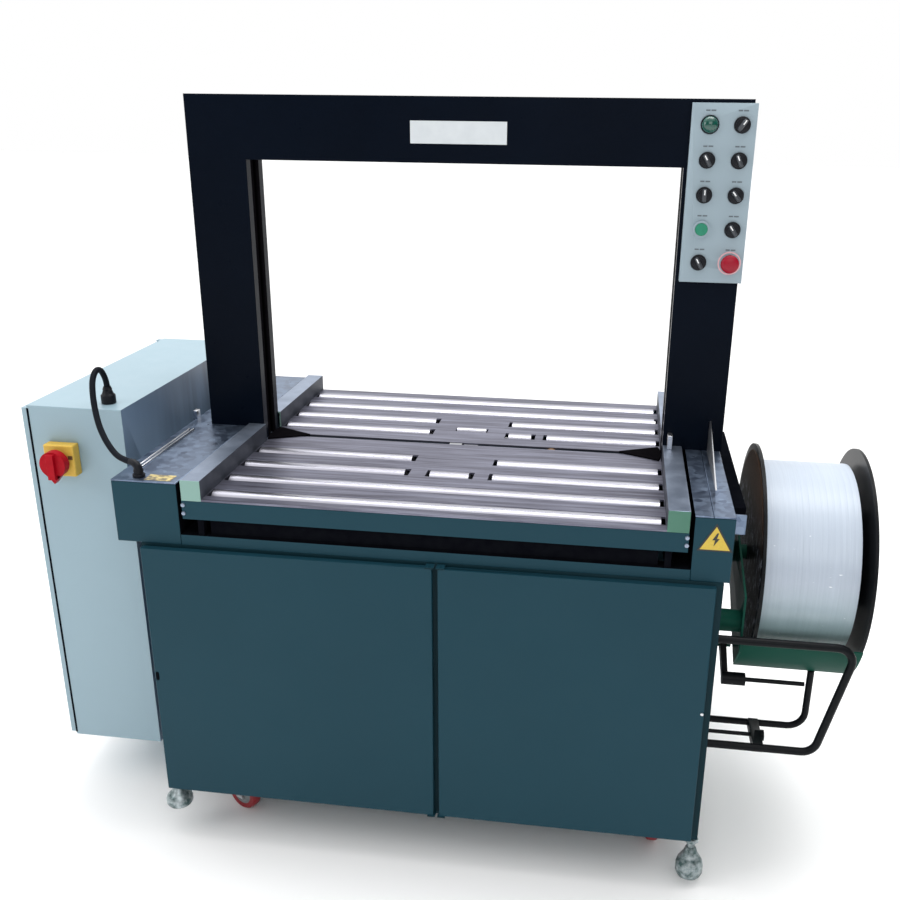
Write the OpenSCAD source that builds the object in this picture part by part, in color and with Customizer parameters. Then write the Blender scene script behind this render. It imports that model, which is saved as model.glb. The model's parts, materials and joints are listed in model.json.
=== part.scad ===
// Semi automatic arch strapping machine: roller table, strap arch, cabinet and strap dispenser.
// X runs along the rollers, Y from the front to the back, Z up from the floor.

/* [Deck] */
// Width of the roller deck between its side rails
deck_w = 882; // [760:2:1100]
// Depth of the front deck, from the front edge to the strap gap
front_deck_d = 412; // [340:2:500]
// Depth of the rear deck, from the strap gap to the back edge
rear_deck_d = 382; // [318:2:460]
// Width of the gap that the strap rises through
strap_gap = 16; // [14:1:24]
// Thickness of the deck plates
deck_t = 4; // [3:0.5:6]
// Height of the deck surface above the cabinet top
deck_rise = 98; // [90:1:130]
// Width of each side rail
rail_w = 40; // [30:1:60]
// Height of a rail above the deck surface
rail_rise = 38; // [20:1:60]
// Thickness of the rail and frame webs
web_t = 12; // [8:1:16]

/* [Rollers] */
// Diameter of the roller drums
roller_d = 42; // [36:1:48]
// Diameter of the roller journals
journal_d = 15; // [12:1:20]
// Height of the drums above the deck surface
roller_proud = 5; // [3:0.5:7]
// Gap between a drum and the end of its slot
slot_end_gap = 10; // [4:1:14]
// Gap between a drum and the side of its slot
slot_side_gap = 2; // [1:0.5:4]
// Diameter of the small idler behind the strap gap
idler_d = 24; // [16:1:28]

/* [Housings] */
// Width of the left housing
left_block_w = 132; // [120:1:180]
// Width of the right housing
right_block_w = 72; // [60:1:120]
// Gap between a rail and its housing
block_gap = 8; // [4:1:14]
// Height of the housings above the cabinet top
block_h = 129; // [121:1:160]
// Thickness of the galvanised top covers
cover_t = 3; // [2:0.5:5]
// Sheet thickness of the housings
block_wall = 3; // [2:0.5:5]

/* [Cabinet] */
// Height of the cabinet shell
cab_h = 578; // [470:1:700]
// Height of the cabinet underside above the floor
ground_h = 122; // [122:1:160]
// Sheet thickness of the cabinet
cab_wall = 3; // [2:0.5:5]
// Width of the lip around each cabinet opening
cab_lip = 24; // [16:1:40]
// Depth of the front doors
door_t = 14; // [10:1:20]
// Sheet thickness of the doors
door_sheet = 2; // [1.5:0.5:3]
// Diameter of the door hinge pins
pin_d = 6; // [4:0.5:8]
// Distance of a hinge pin from the door's edge and face
pin_inset = 5; // [4:0.5:6]

/* [Running gear] */
// Diameter of the caster wheels
wheel_d = 80; // [60:1:84]
// Width of the caster wheels
wheel_w = 28; // [20:1:36]
// Diameter of the caster axles
wheel_axle_d = 10; // [8:1:14]
// Trail of the casters
caster_trail = 25; // [15:1:35]
// Angle of the front left caster at rest
caster_turn = 65; // [0:5:90]
// Diameter of the levelling foot pads
foot_d = 56; // [40:1:70]
// Height that the front left foot is screwed up
foot_raise = 64; // [0:1:66]
// Height that the front right foot is screwed up
foot_raise_right = 20; // [0:1:66]

/* [Arch] */
// Gap between the deck and the arch leg on each side
arch_gap = 2; // [1:0.5:4]
// Clear height of the arch opening above the deck
arch_open_h = 606; // [400:2:800]
// Width of the arch legs seen from the front
leg_w = 124; // [100:1:150]
// Height of the arch beam
beam_h = 126; // [90:1:160]
// Depth of the arch section
arch_d = 96; // [80:1:120]
// Sheet thickness of the arch
arch_wall = 4; // [3:0.5:5]
// Width of the strap track
track_w = 48; // [40:1:56]
// Depth of the strap track
track_d = 24; // [18:1:30]

/* [Control panel] */
// Width of the control panel
panel_w = 122; // [110:1:150]
// Height of the control panel
panel_h = 336; // [300:1:400]
// Depth of the control panel
panel_d = 15; // [12:1:30]
// Pitch of the switch rows
switch_row = 64.5; // [50:0.5:70]
// Pitch of the two switch columns
switch_col = 60; // [50:1:62]
// Diameter of the switch barrels
switch_d = 22; // [16:0.5:22.5]
// Travel of the start button
start_travel = 4; // [2:0.5:4.5]
// Travel of the emergency stop
estop_travel = 5; // [3:0.5:5.5]

/* [Electrical box] */
// Width of the electrical box
ebox_w = 207; // [160:1:280]
// Depth of the electrical box
ebox_d = 649; // [500:1:760]
// Height of the electrical box
ebox_h = 802; // [640:1:950]
// Sheet thickness of the electrical box
ebox_wall = 2.5; // [1.5:0.5:4]
// Depth of the electrical box door
edoor_t = 12; // [10:1:18]
// Gap between the cabinet and the electrical box
ebox_gap = 92; // [60:1:140]

/* [Dispenser] */
// Diameter of the reel flanges
reel_d = 460; // [380:2:500]
// Diameter of the strap coil
coil_d = 396; // [300:2:440]
// Width of the strap coil
coil_w = 182; // [150:1:200]
// Distance between the reel flanges
reel_w = 198; // [180:1:230]
// Thickness of the reel flanges
flange_t = 6; // [3:0.5:8]
// Diameter of the reel hub
hub_d = 200; // [150:1:220]
// Diameter of the reel spindle
spindle_d = 30; // [20:1:40]
// Diameter of the outer rack bar
rack_bar_d = 16; // [12:1:20]
// Diameter of the inner rack bar
inner_bar_d = 14; // [10:1:18]

/* [Hidden] */
$fn = 64;

run_fit = 0.08;   // radial clearance of a running fit
body_gap = 0.3;   // clearance between pieces that move past each other

// Levels
cab_top = ground_h + cab_h;
deck_z = cab_top + deck_rise;
block_z = cab_top + block_h;
rail_z = deck_z + rail_rise;
ring_h = 22;                       // height of the frame's base ring
ring_w = 30;
ring_z = cab_top + ring_h;
apron_z = deck_z - deck_t;         // top of the aprons, under the deck plates
apron_h = 38;
roller_z = deck_z + roller_proud - roller_d / 2;

// Widths
half_deck = deck_w / 2;
rail_x = half_deck + rail_w;
block_x = rail_x + block_gap;
table_x0 = -block_x - left_block_w;
table_x1 = block_x + right_block_w;
cab_x0 = table_x0 + 48;            // the left housing overhangs the cabinet
cab_x1 = table_x1 - 10;

// Depths
table_d = front_deck_d + strap_gap + rear_deck_d;
strap_y = front_deck_d + strap_gap / 2;
cab_d = table_d - 30;
front_door_y = -2 - door_t;        // front face of the doors

// Roller rows
first_row = 42;                    // front edge to the first row
last_row = 57;                     // back edge to the last row
gap_front = 114;                   // strap line to the nearest front row
gap_rear = 76;                     // strap line to the nearest rear row
front_pitch = (strap_y - gap_front - first_row) / 3;
rear_pitch = (table_d - last_row - strap_y - gap_rear) / 3;
drum_end = half_deck - slot_end_gap;
journal_end = half_deck + web_t + 2;
function front_row(i) = first_row + (i - 1) * front_pitch;
function rear_row(i) = strap_y + gap_rear + (i - 1) * rear_pitch;
// Each row lists its drums as [from, to]; the rows by the gap leave room for the sealing head
full_row = [[-drum_end, drum_end]];
FRONT_DRUMS = [full_row, full_row, [[-drum_end, -88], [-35, 46], [95, drum_end]],
    [[-drum_end, -91], [94, drum_end]]];
REAR_DRUMS = [[[-drum_end, -89], [96, 148], [184, drum_end]], [[-drum_end, -90], [95, drum_end]],
    full_row, full_row];
idler_span = [-29, 40];
idler_y = strap_y + gap_rear + 28;
idler_z = deck_z + roller_proud - idler_d / 2;
idler_axle_d = 5;

// Arch
arch_open_w = deck_w + 2 * arch_gap;
arch_in_l = -half_deck - arch_gap - 3;
arch_in_r = arch_in_l + arch_open_w;
arch_y = strap_y - arch_d / 2;
beam_z = deck_z + arch_open_h;
arch_top = beam_z + beam_h;
leg_out_l = arch_in_l - leg_w;
leg_out_r = arch_in_r + leg_w;

// Control panel on the right leg
panel_x = arch_in_r + 7;
panel_y = arch_y - panel_d;
panel_z = arch_top - 7 - panel_h;
switch_x = panel_x + panel_w / 2 + 4;
function switch_at(col, row) =
    [switch_x + (col - 0.5) * switch_col, panel_y, panel_z + panel_h - 39 - row * switch_row];
SELECTOR_AT = [[1, 0], [0, 1], [1, 1], [0, 2], [1, 2], [1, 3], [0, 4]];
lamp_at = switch_at(0, 0);
start_at = switch_at(0, 3);
estop_at = switch_at(1, 4);
stem_d = 14;
knob_gap = 0.5;                    // gap between a knob and the panel face

// Doors
mullion_x = cab_x0 + 589.5;
door_gap = 5.5;                    // half of the gap between the doors
door_z = ground_h + 7;
door_h = cab_h - 13;
lug_t = 3;
left_door = [cab_x0 + 4, mullion_x - door_gap];
right_door = [mullion_x + door_gap, cab_x1 - 14];
left_pin_x = left_door[1] - pin_inset;
right_pin_x = right_door[0] + pin_inset;
pin_y = front_door_y + pin_inset;

// Electrical box
ebox_x1 = cab_x0 - ebox_gap;
ebox_x0 = ebox_x1 - ebox_w;
ebox_y = 150;
ebox_z = ground_h - 3;
ebox_top = ebox_z + ebox_h;
edoor_x = ebox_x0 - 2 - edoor_t;   // outer face of its door
edoor_pin = [edoor_x + 4, ebox_y + ebox_d - 7];
isolator_x = ebox_x1 - 135;
isolator_z = ebox_top - 109;
isolator_d = 25;                   // depth of its base

// Dispenser
reel_y = 300;
reel_z = cab_top - 67;
reel_x = cab_x1 + 78;              // outer face of the near flange
reel_x1 = reel_x + reel_w + 2 * flange_t;
bracket_x = cab_x1 + 49;
bracket_t = 4;
rack_y = 50;
rack_top = reel_z - 76;
rack_low = reel_z - 313;
tray_r = reel_d / 2 + 10;
tray_t = 3;
tray_a0 = 204;                     // angles of the tray about the reel's axis
tray_a1 = 228;
inner_y = round(reel_y + (tray_r + 2) * cos(tray_a1));   // the inner bar ends under the tray
arm_pin = [190, reel_z - 163];     // y and z of the tension arm's pivot
arm_rod = [110, reel_z - 196];
arm_pin_d = 12;

// Casters and feet
swivel_l = [cab_x0 + 100, 120];
swivel_r = [cab_x1 - 82, 120];
rear_caster_y = cab_d - 120;
caster_pad = 10;
foot_inset = [9, 20];

// Sealing head
head_z = ring_z;
cam_z = ring_z + 35;
head_half = 80;                    // half the distance over the side plates
bar_x = 120;                       // cross members that carry the head
feed_x = 200;
feed_r = 20;
pinch_r = 14;
feed_z = cab_top + 48;
pinch_z = feed_z + feed_r + pinch_r + 0.6;

// Lead: the centre line of the free cord from its gland to its plug. The ends follow the housing
// and the electrical box, and the points between them share out the difference.
lead_d = 12;
ROUTE = [[-574, 24, 841], [-575, 24, 849], [-583, 26, 856], [-602, 32, 858], [-628, 45, 864], [-654, 62, 883],
    [-675, 80, 907], [-690, 98, 932], [-701, 115, 958], [-708, 131, 981], [-711, 146, 995],
    [-711, 160, 1001], [-711, 174, 996], [-712, 186, 982], [-713, 193, 968], [-714, 196, 957]];
gland_h = 12;
plug_h = 36;
gland_at = [table_x0 + 47, 24, block_z];
plug_at = [ebox_x1 - 49, ebox_y + 46, ebox_top];
gland_shift = gland_at + [0, 0, gland_h] - ROUTE[0];
plug_shift = plug_at + [0, 0, plug_h] - ROUTE[len(ROUTE) - 1];
LEAD = [for (i = [0:len(ROUTE) - 1]) let (t = i / (len(ROUTE) - 1))
    ROUTE[i] + (1 - t) * gland_shift + t * plug_shift];

// The origin is the bottom centre of everything but the lead
x_min = edoor_x - 2;
x_max = reel_x1 + 13;
y_min = pin_y - 7;
y_max = table_d;
centre = [-(x_min + x_max) / 2, -(y_min + y_max) / 2, 0];

// Colours
teal = [0.16, 0.28, 0.33];
navy = [0.07, 0.10, 0.15];
pale_green = [0.52, 0.66, 0.64];
steel = [0.80, 0.81, 0.83];
galvanised = [0.45, 0.52, 0.60];
grey_blue = [0.62, 0.71, 0.75];
panel_grey = [0.78, 0.79, 0.80];
black = [0.06, 0.06, 0.07];

// Box between two corners
module block(a, b) {
    translate(a) cube(b - a);
}

// Cylinder along X, Y or Z from a point
module rod_x(p, d, l) {
    translate(p) rotate([0, 90, 0]) cylinder(d = d, h = l);
}

module rod_y(p, d, l) {
    translate(p) rotate([-90, 0, 0]) cylinder(d = d, h = l);
}

module rod_z(p, d, l) {
    translate(p) cylinder(d = d, h = l);
}

// Plate cut from an outline in X and Z, from y0 to y1
module slab_y(points, y0, y1) {
    translate([0, y1, 0]) rotate([90, 0, 0]) linear_extrude(y1 - y0) polygon(points);
}

// Plate cut from an outline in Y and Z, from x0 to x1
module slab_x(points, x0, x1) {
    translate([x0, 0, 0]) rotate([90, 0, 90]) linear_extrude(x1 - x0) polygon(points);
}

// Outline of a box from [x0, z0] to [x1, z1]
function outline(a, b) = [a, [b[0], a[1]], b, [a[0], b[1]]];

// ---- Cabinet ----

module cabinet_window(x0, x1) {
    block([x0, -1, ground_h + cab_lip + 12], [x1, cab_wall + 1, cab_top - cab_lip]);
}

module door_lug(x, z) {
    difference() {
        block([x - 8, pin_y - 7, z], [x + 8, 0, z + lug_t]);
        rod_z([x, pin_y, z - 1], pin_d + 2 * run_fit, lug_t + 2);
    }
}

module cabinet_body() {
    color(teal) difference() {
        union() {
            difference() {
                block([cab_x0, 0, ground_h], [cab_x1, cab_d, cab_top]);
                block([cab_x0 + cab_wall, cab_wall, ground_h + cab_wall],
                    [cab_x1 - cab_wall, cab_d - cab_wall, cab_top - cab_wall]);
                cabinet_window(cab_x0 + cab_lip, mullion_x - cab_lip / 2);
                cabinet_window(mullion_x + cab_lip / 2, cab_x1 - cab_lip);
                block([cab_x0 + cab_lip, cab_d - cab_wall - 1, ground_h + cab_lip],
                    [cab_x1 - cab_lip, cab_d + 1, cab_top - cab_lip]);
                // room for the sealing head's motor
                block([-head_half - 10, strap_y - 62, cab_top - cab_wall - 1],
                    [head_half + 40, strap_y + 62, cab_top + 1]);
            }
            for (x = [left_pin_x, right_pin_x])
                for (z = [door_z - body_gap - lug_t, door_z + door_h + body_gap])
                    door_lug(x, z);
            for (p = [swivel_l, swivel_r, [swivel_l[0], rear_caster_y], [swivel_r[0], rear_caster_y]])
                block([p[0] - 45, p[1] - 45, ground_h - caster_pad],
                    [p[0] + 45, p[1] + 45, ground_h]);
        }
        for (p = [swivel_l, swivel_r])
            rod_z([p[0], p[1], ground_h - caster_pad - 1], kingpin_d + 2 * run_fit,
                caster_pad + cab_wall + 2);
    }
}

module rear_panel() {
    slots = floor((cab_x1 - cab_x0 - 300) / 60);
    color(teal) difference() {
        block([cab_x0 + 8, cab_d, ground_h + 8], [cab_x1 - 8, cab_d + 2, cab_top - 8]);
        for (i = [0:slots - 1])
            block([cab_x0 + 150 + i * 60, cab_d - 1, cab_top - 90],
                [cab_x0 + 190 + i * 60, cab_d + 3, cab_top - 82]);
    }
}

module front_door(span, pin_x) {
    y1 = front_door_y + door_t;
    color(teal) union() {
        difference() {
            block([span[0], front_door_y, door_z], [span[1], y1, door_z + door_h]);
            block([span[0] + door_sheet, front_door_y + door_sheet, door_z + door_sheet],
                [span[1] - door_sheet, y1 + 1, door_z + door_h - door_sheet]);
        }
        for (z = [door_z - 4, door_z + door_h - door_sheet])
            rod_z([pin_x, pin_y, z], pin_d, 4 + door_sheet);
    }
}

module front_door_left() {
    front_door(left_door, left_pin_x);
}

module front_door_right() {
    front_door(right_door, right_pin_x);
}

// ---- Feet and casters ----

kingpin_d = 12;
fork_top = ground_h - caster_pad - body_gap;
fork_t = 4;
fork_gap = 1;                      // gap between the wheel and a fork leg
fork_half = wheel_w / 2 + fork_gap;

module foot(x, y, raise) {
    bottom = raise;
    top = ground_h;
    neck = min(bottom + 68, top - 5);
    color([0.35, 0.45, 0.46]) translate([x, y, 0]) rotate_extrude()
        polygon([[0, bottom], [foot_d / 2 - 2, bottom], [foot_d / 2, bottom + 3],
            [foot_d / 2, bottom + 38], [12, neck], [8.5, neck], [8.5, top], [0, top]]);
}

module levelling_feet() {
    foot(cab_x0 + foot_inset[0], foot_inset[1], foot_raise);
    foot(cab_x1 - foot_inset[0], foot_inset[1], foot_raise_right);
    foot(cab_x0 + foot_inset[0], cab_d - foot_inset[1], 0);
    foot(cab_x1 - foot_inset[0], cab_d - foot_inset[1], 0);
}

// Fork of one caster, its kingpin on the Z axis and its axle trailing along -Y
module fork(pin_h) {
    crown = fork_top - 8;
    union() {
        rod_z([0, 0, crown], 46, 8);
        if (pin_h > 0) rod_z([0, 0, fork_top - 1], kingpin_d, pin_h + 1);
        for (s = [-1, 1])
            slab_x([[-caster_trail - 9, wheel_d / 2 - 9], [-caster_trail + 9, wheel_d / 2 - 9],
                    [20, crown + 1], [-20, crown + 1]],
                s > 0 ? fork_half : -fork_half - fork_t, s > 0 ? fork_half + fork_t : -fork_half);
        rod_x([-fork_half - fork_t - 3, -caster_trail, wheel_d / 2], wheel_axle_d,
            2 * (fork_half + fork_t + 3));
    }
}

module wheel() {
    difference() {
        union() {
            rod_x([-wheel_w / 2, -caster_trail, wheel_d / 2], wheel_d, wheel_w);
        }
        rod_x([-wheel_w / 2 - 1, -caster_trail, wheel_d / 2], wheel_axle_d + 2 * run_fit,
            wheel_w + 2);
        for (x = [-wheel_w / 2 - 1, wheel_w / 2 - 4])
            difference() {
                rod_x([x, -caster_trail, wheel_d / 2], wheel_d * 0.66, 5);
                rod_x([x - 1, -caster_trail, wheel_d / 2], wheel_axle_d + 14, 7);
            }
    }
}

module caster_fork_left() {
    color(galvanised) translate([swivel_l[0], swivel_l[1], 0]) rotate([0, 0, caster_turn])
        fork(caster_pad + body_gap);
}

module caster_fork_right() {
    color(galvanised) translate([swivel_r[0], swivel_r[1], 0]) rotate([0, 0, 180])
        fork(caster_pad + body_gap);
}

// The rear casters don't swivel: their forks are riveted to the pads
module caster_forks_rear() {
    for (x = [swivel_l[0], swivel_r[0]])
        color(galvanised) translate([x, rear_caster_y, 0]) union() {
            fork(0);
            rod_z([0, 0, fork_top - 1], 46, 1 + body_gap);
        }
}

module wheel_front_left() {
    color([0.55, 0.05, 0.07]) translate([swivel_l[0], swivel_l[1], 0])
        rotate([0, 0, caster_turn]) wheel();
}

module wheel_front_right() {
    color([0.55, 0.05, 0.07]) translate([swivel_r[0], swivel_r[1], 0]) rotate([0, 0, 180]) wheel();
}

module wheel_rear_left() {
    color([0.55, 0.05, 0.07]) translate([swivel_l[0], rear_caster_y, 0]) wheel();
}

module wheel_rear_right() {
    color([0.55, 0.05, 0.07]) translate([swivel_r[0], rear_caster_y, 0]) wheel();
}

// ---- Table ----

// Webs beside the strap gap that carry the deck edges and the feed axles
module gap_beam(y) {
    beam_t = 9;
    difference() {
        block([-half_deck, y - beam_t / 2, ring_z + 11], [half_deck, y + beam_t / 2, apron_z]);
        block([-head_half - 20, y - beam_t, ring_z], [head_half + 20, y + beam_t, apron_z - 11]);
        rod_y([feed_x, y - beam_t, feed_z], 10 + 2 * run_fit, 2 * beam_t);
        rod_y([feed_x, y - beam_t, pinch_z], 10 + 2 * run_fit, 2 * beam_t);
    }
}

module table_frame() {
    color(teal) union() {
        difference() {
            block([-block_x, 0, cab_top], [block_x, table_d, ring_z]);
            block([-block_x + ring_w, ring_w, cab_top - 1],
                [block_x - ring_w, table_d - ring_w, ring_z + 1]);
        }
        for (x = [-bar_x, bar_x])
            block([x - ring_w / 2, ring_w - 1, cab_top], [x + ring_w / 2, table_d - ring_w + 1, ring_z]);
        for (y = [0, table_d - 3])
            block([-rail_x, y, apron_z - apron_h], [rail_x, y + 3, apron_z]);
        for (s = [-1, 1]) gap_beam(strap_y + s * 15.5);
    }
}

// Rail section: a box above the deck on a web that holds the roller journals
module side_rail(s) {
    x0 = s > 0 ? half_deck : -rail_x;
    x1 = s > 0 ? rail_x : -half_deck;
    web0 = s > 0 ? half_deck : -half_deck - web_t;
    difference() {
        union() {
            difference() {
                block([x0, 0, apron_z], [x1, table_d, rail_z]);
                block([x0 + 3, 3, deck_z], [x1 - 3, table_d - 3, rail_z - 3]);
            }
            block([web0, 3, ring_z], [web0 + web_t, table_d - 3, apron_z]);
        }
        block([x0 - 1, arch_y - 0.5, deck_z], [x1 + 1, arch_y + arch_d + 0.5, rail_z + 1]);
        for (i = [1:4]) {
            rod_x([web0 - 1, front_row(i), roller_z], journal_d + 2 * run_fit, web_t + 2);
            rod_x([web0 - 1, rear_row(i), roller_z], journal_d + 2 * run_fit, web_t + 2);
        }
    }
}

module side_rails() {
    color(pale_green) for (s = [-1, 1]) side_rail(s);
}

module housing(x0, x1) {
    color(teal) difference() {
        block([x0, 0, cab_top], [x1, table_d, block_z - cover_t]);
        block([x0 + block_wall, block_wall, cab_top + block_wall],
            [x1 - block_wall, table_d - block_wall, block_z]);
    }
}

module left_housing() {
    housing(table_x0, -block_x);
}

module right_housing() {
    housing(block_x, table_x1);
}

// Galvanised covers of both housings, with the guide fin, tabs and side bracket
module top_cover_plates() {
    seam = block_x + (table_x1 - block_x) * 0.45;
    fin_x = table_x1 - 27;
    color(galvanised) union() {
        block([table_x0, 0, block_z - cover_t], [-block_x, table_d, block_z]);
        block([table_x0 - 10, strap_y - 10, block_z - 27], [table_x0, strap_y + 10, block_z + 16]);
        for (x = [table_x0 + 20, table_x0 + 29])
            block([x, 60, block_z - 1], [x + 3, 320, block_z + 5]);
    }
    color(galvanised) block([block_x, 0, block_z - cover_t], [seam, table_d, block_z]);
    color(galvanised) union() {
        block([seam + 1, 0, block_z - cover_t], [table_x1, table_d, block_z]);
        slab_x([[arch_y - 240, block_z - 1], [arch_y - 3, block_z - 1], [arch_y - 3, block_z + 68],
            [arch_y - 8, block_z + 68]], fin_x, fin_x + 3);
    }
    color(galvanised) block([half_deck + 8, arch_y - 28, rail_z], [half_deck + 18, arch_y - 3, rail_z + 30]);
    color(galvanised) block([table_x1, 58, block_z - 56], [table_x1 + 26, 62, block_z - 17]);
}

// Slots over one row of drums
module row_slots(drums, y) {
    dz = roller_z - (deck_z - deck_t);
    half = sqrt(roller_d * roller_d / 4 - dz * dz) + slot_side_gap;
    for (d = drums)
        block([d[0] - slot_end_gap + 1, y - half, deck_z - deck_t - 1],
            [d[1] + slot_end_gap - 1, y + half, deck_z + 1]);
}

module front_deck() {
    color(steel) difference() {
        block([-half_deck, 0, deck_z - deck_t], [half_deck, front_deck_d, deck_z]);
        for (i = [1:4]) row_slots(FRONT_DRUMS[i - 1], front_row(i));
    }
}

module rear_deck() {
    bracket = idler_axle_d / 2 + 6;
    color(steel) union() {
        difference() {
            block([-half_deck, front_deck_d + strap_gap, deck_z - deck_t], [half_deck, table_d, deck_z]);
            for (i = [1:4]) row_slots(REAR_DRUMS[i - 1], rear_row(i));
            block([idler_span[0] - 3, idler_y - idler_d / 2 - 1, deck_z - deck_t - 1],
                [idler_span[1] + 3, idler_y + idler_d / 2 + 1, deck_z + 1]);
        }
        for (x = [idler_span[0] - 7, idler_span[1] + 3])
            difference() {
                block([x, idler_y - bracket, idler_z - bracket], [x + 4, idler_y + bracket, deck_z - deck_t]);
                rod_x([x - 1, idler_y, idler_z], idler_axle_d + 2 * run_fit, 6);
            }
    }
}

// Tube on a middle web, with end caps that stand clear of the shaft
module drum(d, y) {
    tube = 2.5;
    cap = 3;
    web = 4;
    mid = (d[0] + d[1]) / 2;
    difference() {
        rod_x([d[0], y, roller_z], roller_d, d[1] - d[0]);
        for (s = [[d[0] + cap, mid - web], [mid + web, d[1] - cap]])
            rod_x([s[0], y, roller_z], roller_d - 2 * tube, s[1] - s[0]);
        for (s = [[d[0] - 1, mid - web], [mid + web, d[1] + 1]])
            rod_x([s[0], y, roller_z], journal_d + 2, s[1] - s[0]);
    }
}

// One row of drums on a shared shaft
module roller(drums, y) {
    color(steel) union() {
        rod_x([-journal_end, y, roller_z], journal_d, 2 * journal_end);
        for (d = drums) drum(d, y);
    }
}

module rear_idler() {
    color(steel) union() {
        rod_x([idler_span[0] - 9, idler_y, idler_z], idler_axle_d, idler_span[1] - idler_span[0] + 18);
        rod_x([idler_span[0], idler_y, idler_z], idler_d, idler_span[1] - idler_span[0]);
    }
}

// Black trunking behind the front recess and along the right housing
module cable_trunking() {
    color(black) block([-half_deck + 12, 8, ring_z], [half_deck - 12, 28, apron_z - apron_h - 2]);
    color(black) block([table_x1, 150, block_z - 74], [table_x1 + 36, 640, block_z - 39]);
}

// ---- Arch ----

// Shape between the arch opening and a line that lies out from it, for y0 to y1
module arch_band(a, b, y0, y1, foot_z) {
    difference() {
        slab_y(outline([arch_in_l - b, foot_z], [arch_in_r + b, beam_z + b]), y0, y1);
        slab_y(outline([arch_in_l - a, foot_z - 1], [arch_in_r + a, beam_z + a]), y0 - 1, y1 + 1);
    }
}

module track_envelope() {
    arch_band(0, track_d, strap_y - track_w / 2, strap_y + track_w / 2, deck_z);
}

// One arch leg; s is -1 on the left and 1 on the right
module arch_leg(s) {
    inner = s > 0 ? arch_in_r : arch_in_l;
    outer = s > 0 ? leg_out_r : leg_out_l;
    step = s * (rail_x + 1);
    w = arch_wall;
    color(navy) difference() {
        slab_y([[outer, block_z], [step, block_z], [step, deck_z], [inner, deck_z],
            [inner, beam_z], [outer, arch_top]], arch_y, arch_y + arch_d);
        slab_y([[outer - s * w, block_z + w], [step - s * w, block_z + w], [step - s * w, deck_z + w],
            [inner + s * w, deck_z + w], [inner + s * w, arch_top + 1], [outer - s * w, arch_top + 1]],
            arch_y + w, arch_y + arch_d - w);
        track_envelope();
        if (s > 0) panel_window();
    }
}

// Hole behind the control panel, which crosses the joint of the leg and the beam
module panel_window() {
    block([panel_x + 10, arch_y - 1, panel_z + 14],
        [panel_x + panel_w - 12, arch_y + arch_wall + 1, panel_z + panel_h - 14]);
}

module arch_left_leg() {
    arch_leg(-1);
}

module arch_right_leg() {
    arch_leg(1);
}

module arch_top_beam() {
    color(navy) difference() {
        slab_y([[arch_in_l, beam_z], [arch_in_r, beam_z], [leg_out_r, arch_top], [leg_out_l, arch_top]],
            arch_y, arch_y + arch_d);
        slab_y(outline([leg_out_l - 10, beam_z + arch_wall], [leg_out_r + 10, arch_top - arch_wall]),
            arch_y + arch_wall, arch_y + arch_d - arch_wall);
        track_envelope();
        panel_window();
    }
}

// Strap track inside the arch, with the wedge guides at both ends of the strap gap
module arch_track() {
    half = track_w / 2;
    color([0.13, 0.11, 0.11]) union() {
        difference() {
            track_envelope();
            arch_band(3, track_d - 3, strap_y - half + 3, strap_y + half - 3, deck_z - 1);
            arch_band(-1, 3.1, strap_y - 10, strap_y + 10, deck_z - 1);
        }
        for (s = [-1, 1]) {
            x = s > 0 ? arch_in_r : arch_in_l;
            translate([0, 0, deck_z]) linear_extrude(3)
                polygon([[x, strap_y - half + 2], [x - s * 5, strap_y - 44], [x - s * 90, strap_y - 2],
                    [x - s * 90, strap_y + 2], [x - s * 5, strap_y + 44], [x, strap_y + half - 2]]);
        }
    }
}

// ---- Control panel ----

module control_panel() {
    ring_h = 3;
    bored = [for (s = SELECTOR_AT) switch_at(s[0], s[1])];
    color(panel_grey) difference() {
        union() {
            difference() {
                block([panel_x, panel_y, panel_z], [panel_x + panel_w, arch_y, panel_z + panel_h]);
                block([panel_x + 2, panel_y + 2, panel_z + 2],
                    [panel_x + panel_w - 2, arch_y + 1, panel_z + panel_h - 2]);
            }
            rod_y(start_at - [0, 7, 0], 32, 7);
            rod_y(estop_at - [0, ring_h, 0], 40, ring_h + 1);
        }
        for (p = bored) rod_y(p - [0, 1, 0], switch_d + 2 * run_fit, 4);
        rod_y(lamp_at - [0, 1, 0], switch_d, 4);
        rod_y(start_at - [0, 8, 0], 25, 8);
        for (p = [start_at, estop_at]) rod_y(p - [0, 8, 0], stem_d + 2 * run_fit, 12);
    }
}

module selector(at) {
    front = at[1] - knob_gap;
    color(black) union() {
        rod_y([at[0], front - 5, at[2]], 31, 5);
        rod_y([at[0], front - 1, at[2]], switch_d, 30);
        rod_y([at[0], front - 9, at[2]], 24, 5);
        block([at[0] - 4, front - 19, at[2] - 12], [at[0] + 4, front - 8, at[2] + 12]);
    }
}

module pilot_lamp() {
    color([0.03, 0.25, 0.20]) union() {
        rod_y(lamp_at - [0, 4, 0], 30, 4);
        rod_y(lamp_at - [0, 1, 0], switch_d, 28);
        translate(lamp_at - [0, 4, 0]) rotate([90, 0, 0]) rotate_extrude()
            polygon([[0, -1], [12, -1], [12, 5], [11, 9], [8, 12.5], [4, 14.4], [0, 15]]);
    }
}

module start_button() {
    color([0.10, 0.75, 0.25]) union() {
        rod_y(start_at - [0, start_travel + 4.5, 0], 24, 4);
        rod_y(start_at - [0, start_travel + 1, 0], stem_d, 30);
    }
}

module estop_button() {
    face = 3 + estop_travel + knob_gap;   // gap that the travel closes
    color([0.75, 0.05, 0.08]) union() {
        translate(estop_at - [0, face, 0]) rotate([90, 0, 0]) rotate_extrude()
            polygon([[0, 0], [14, 0], [18, 4], [18, 9], [15, 12], [8, 13.6], [0, 14]]);
        rod_y(estop_at - [0, face + 1, 0], stem_d, 30);
    }
}

// ---- Electrical box ----

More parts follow.
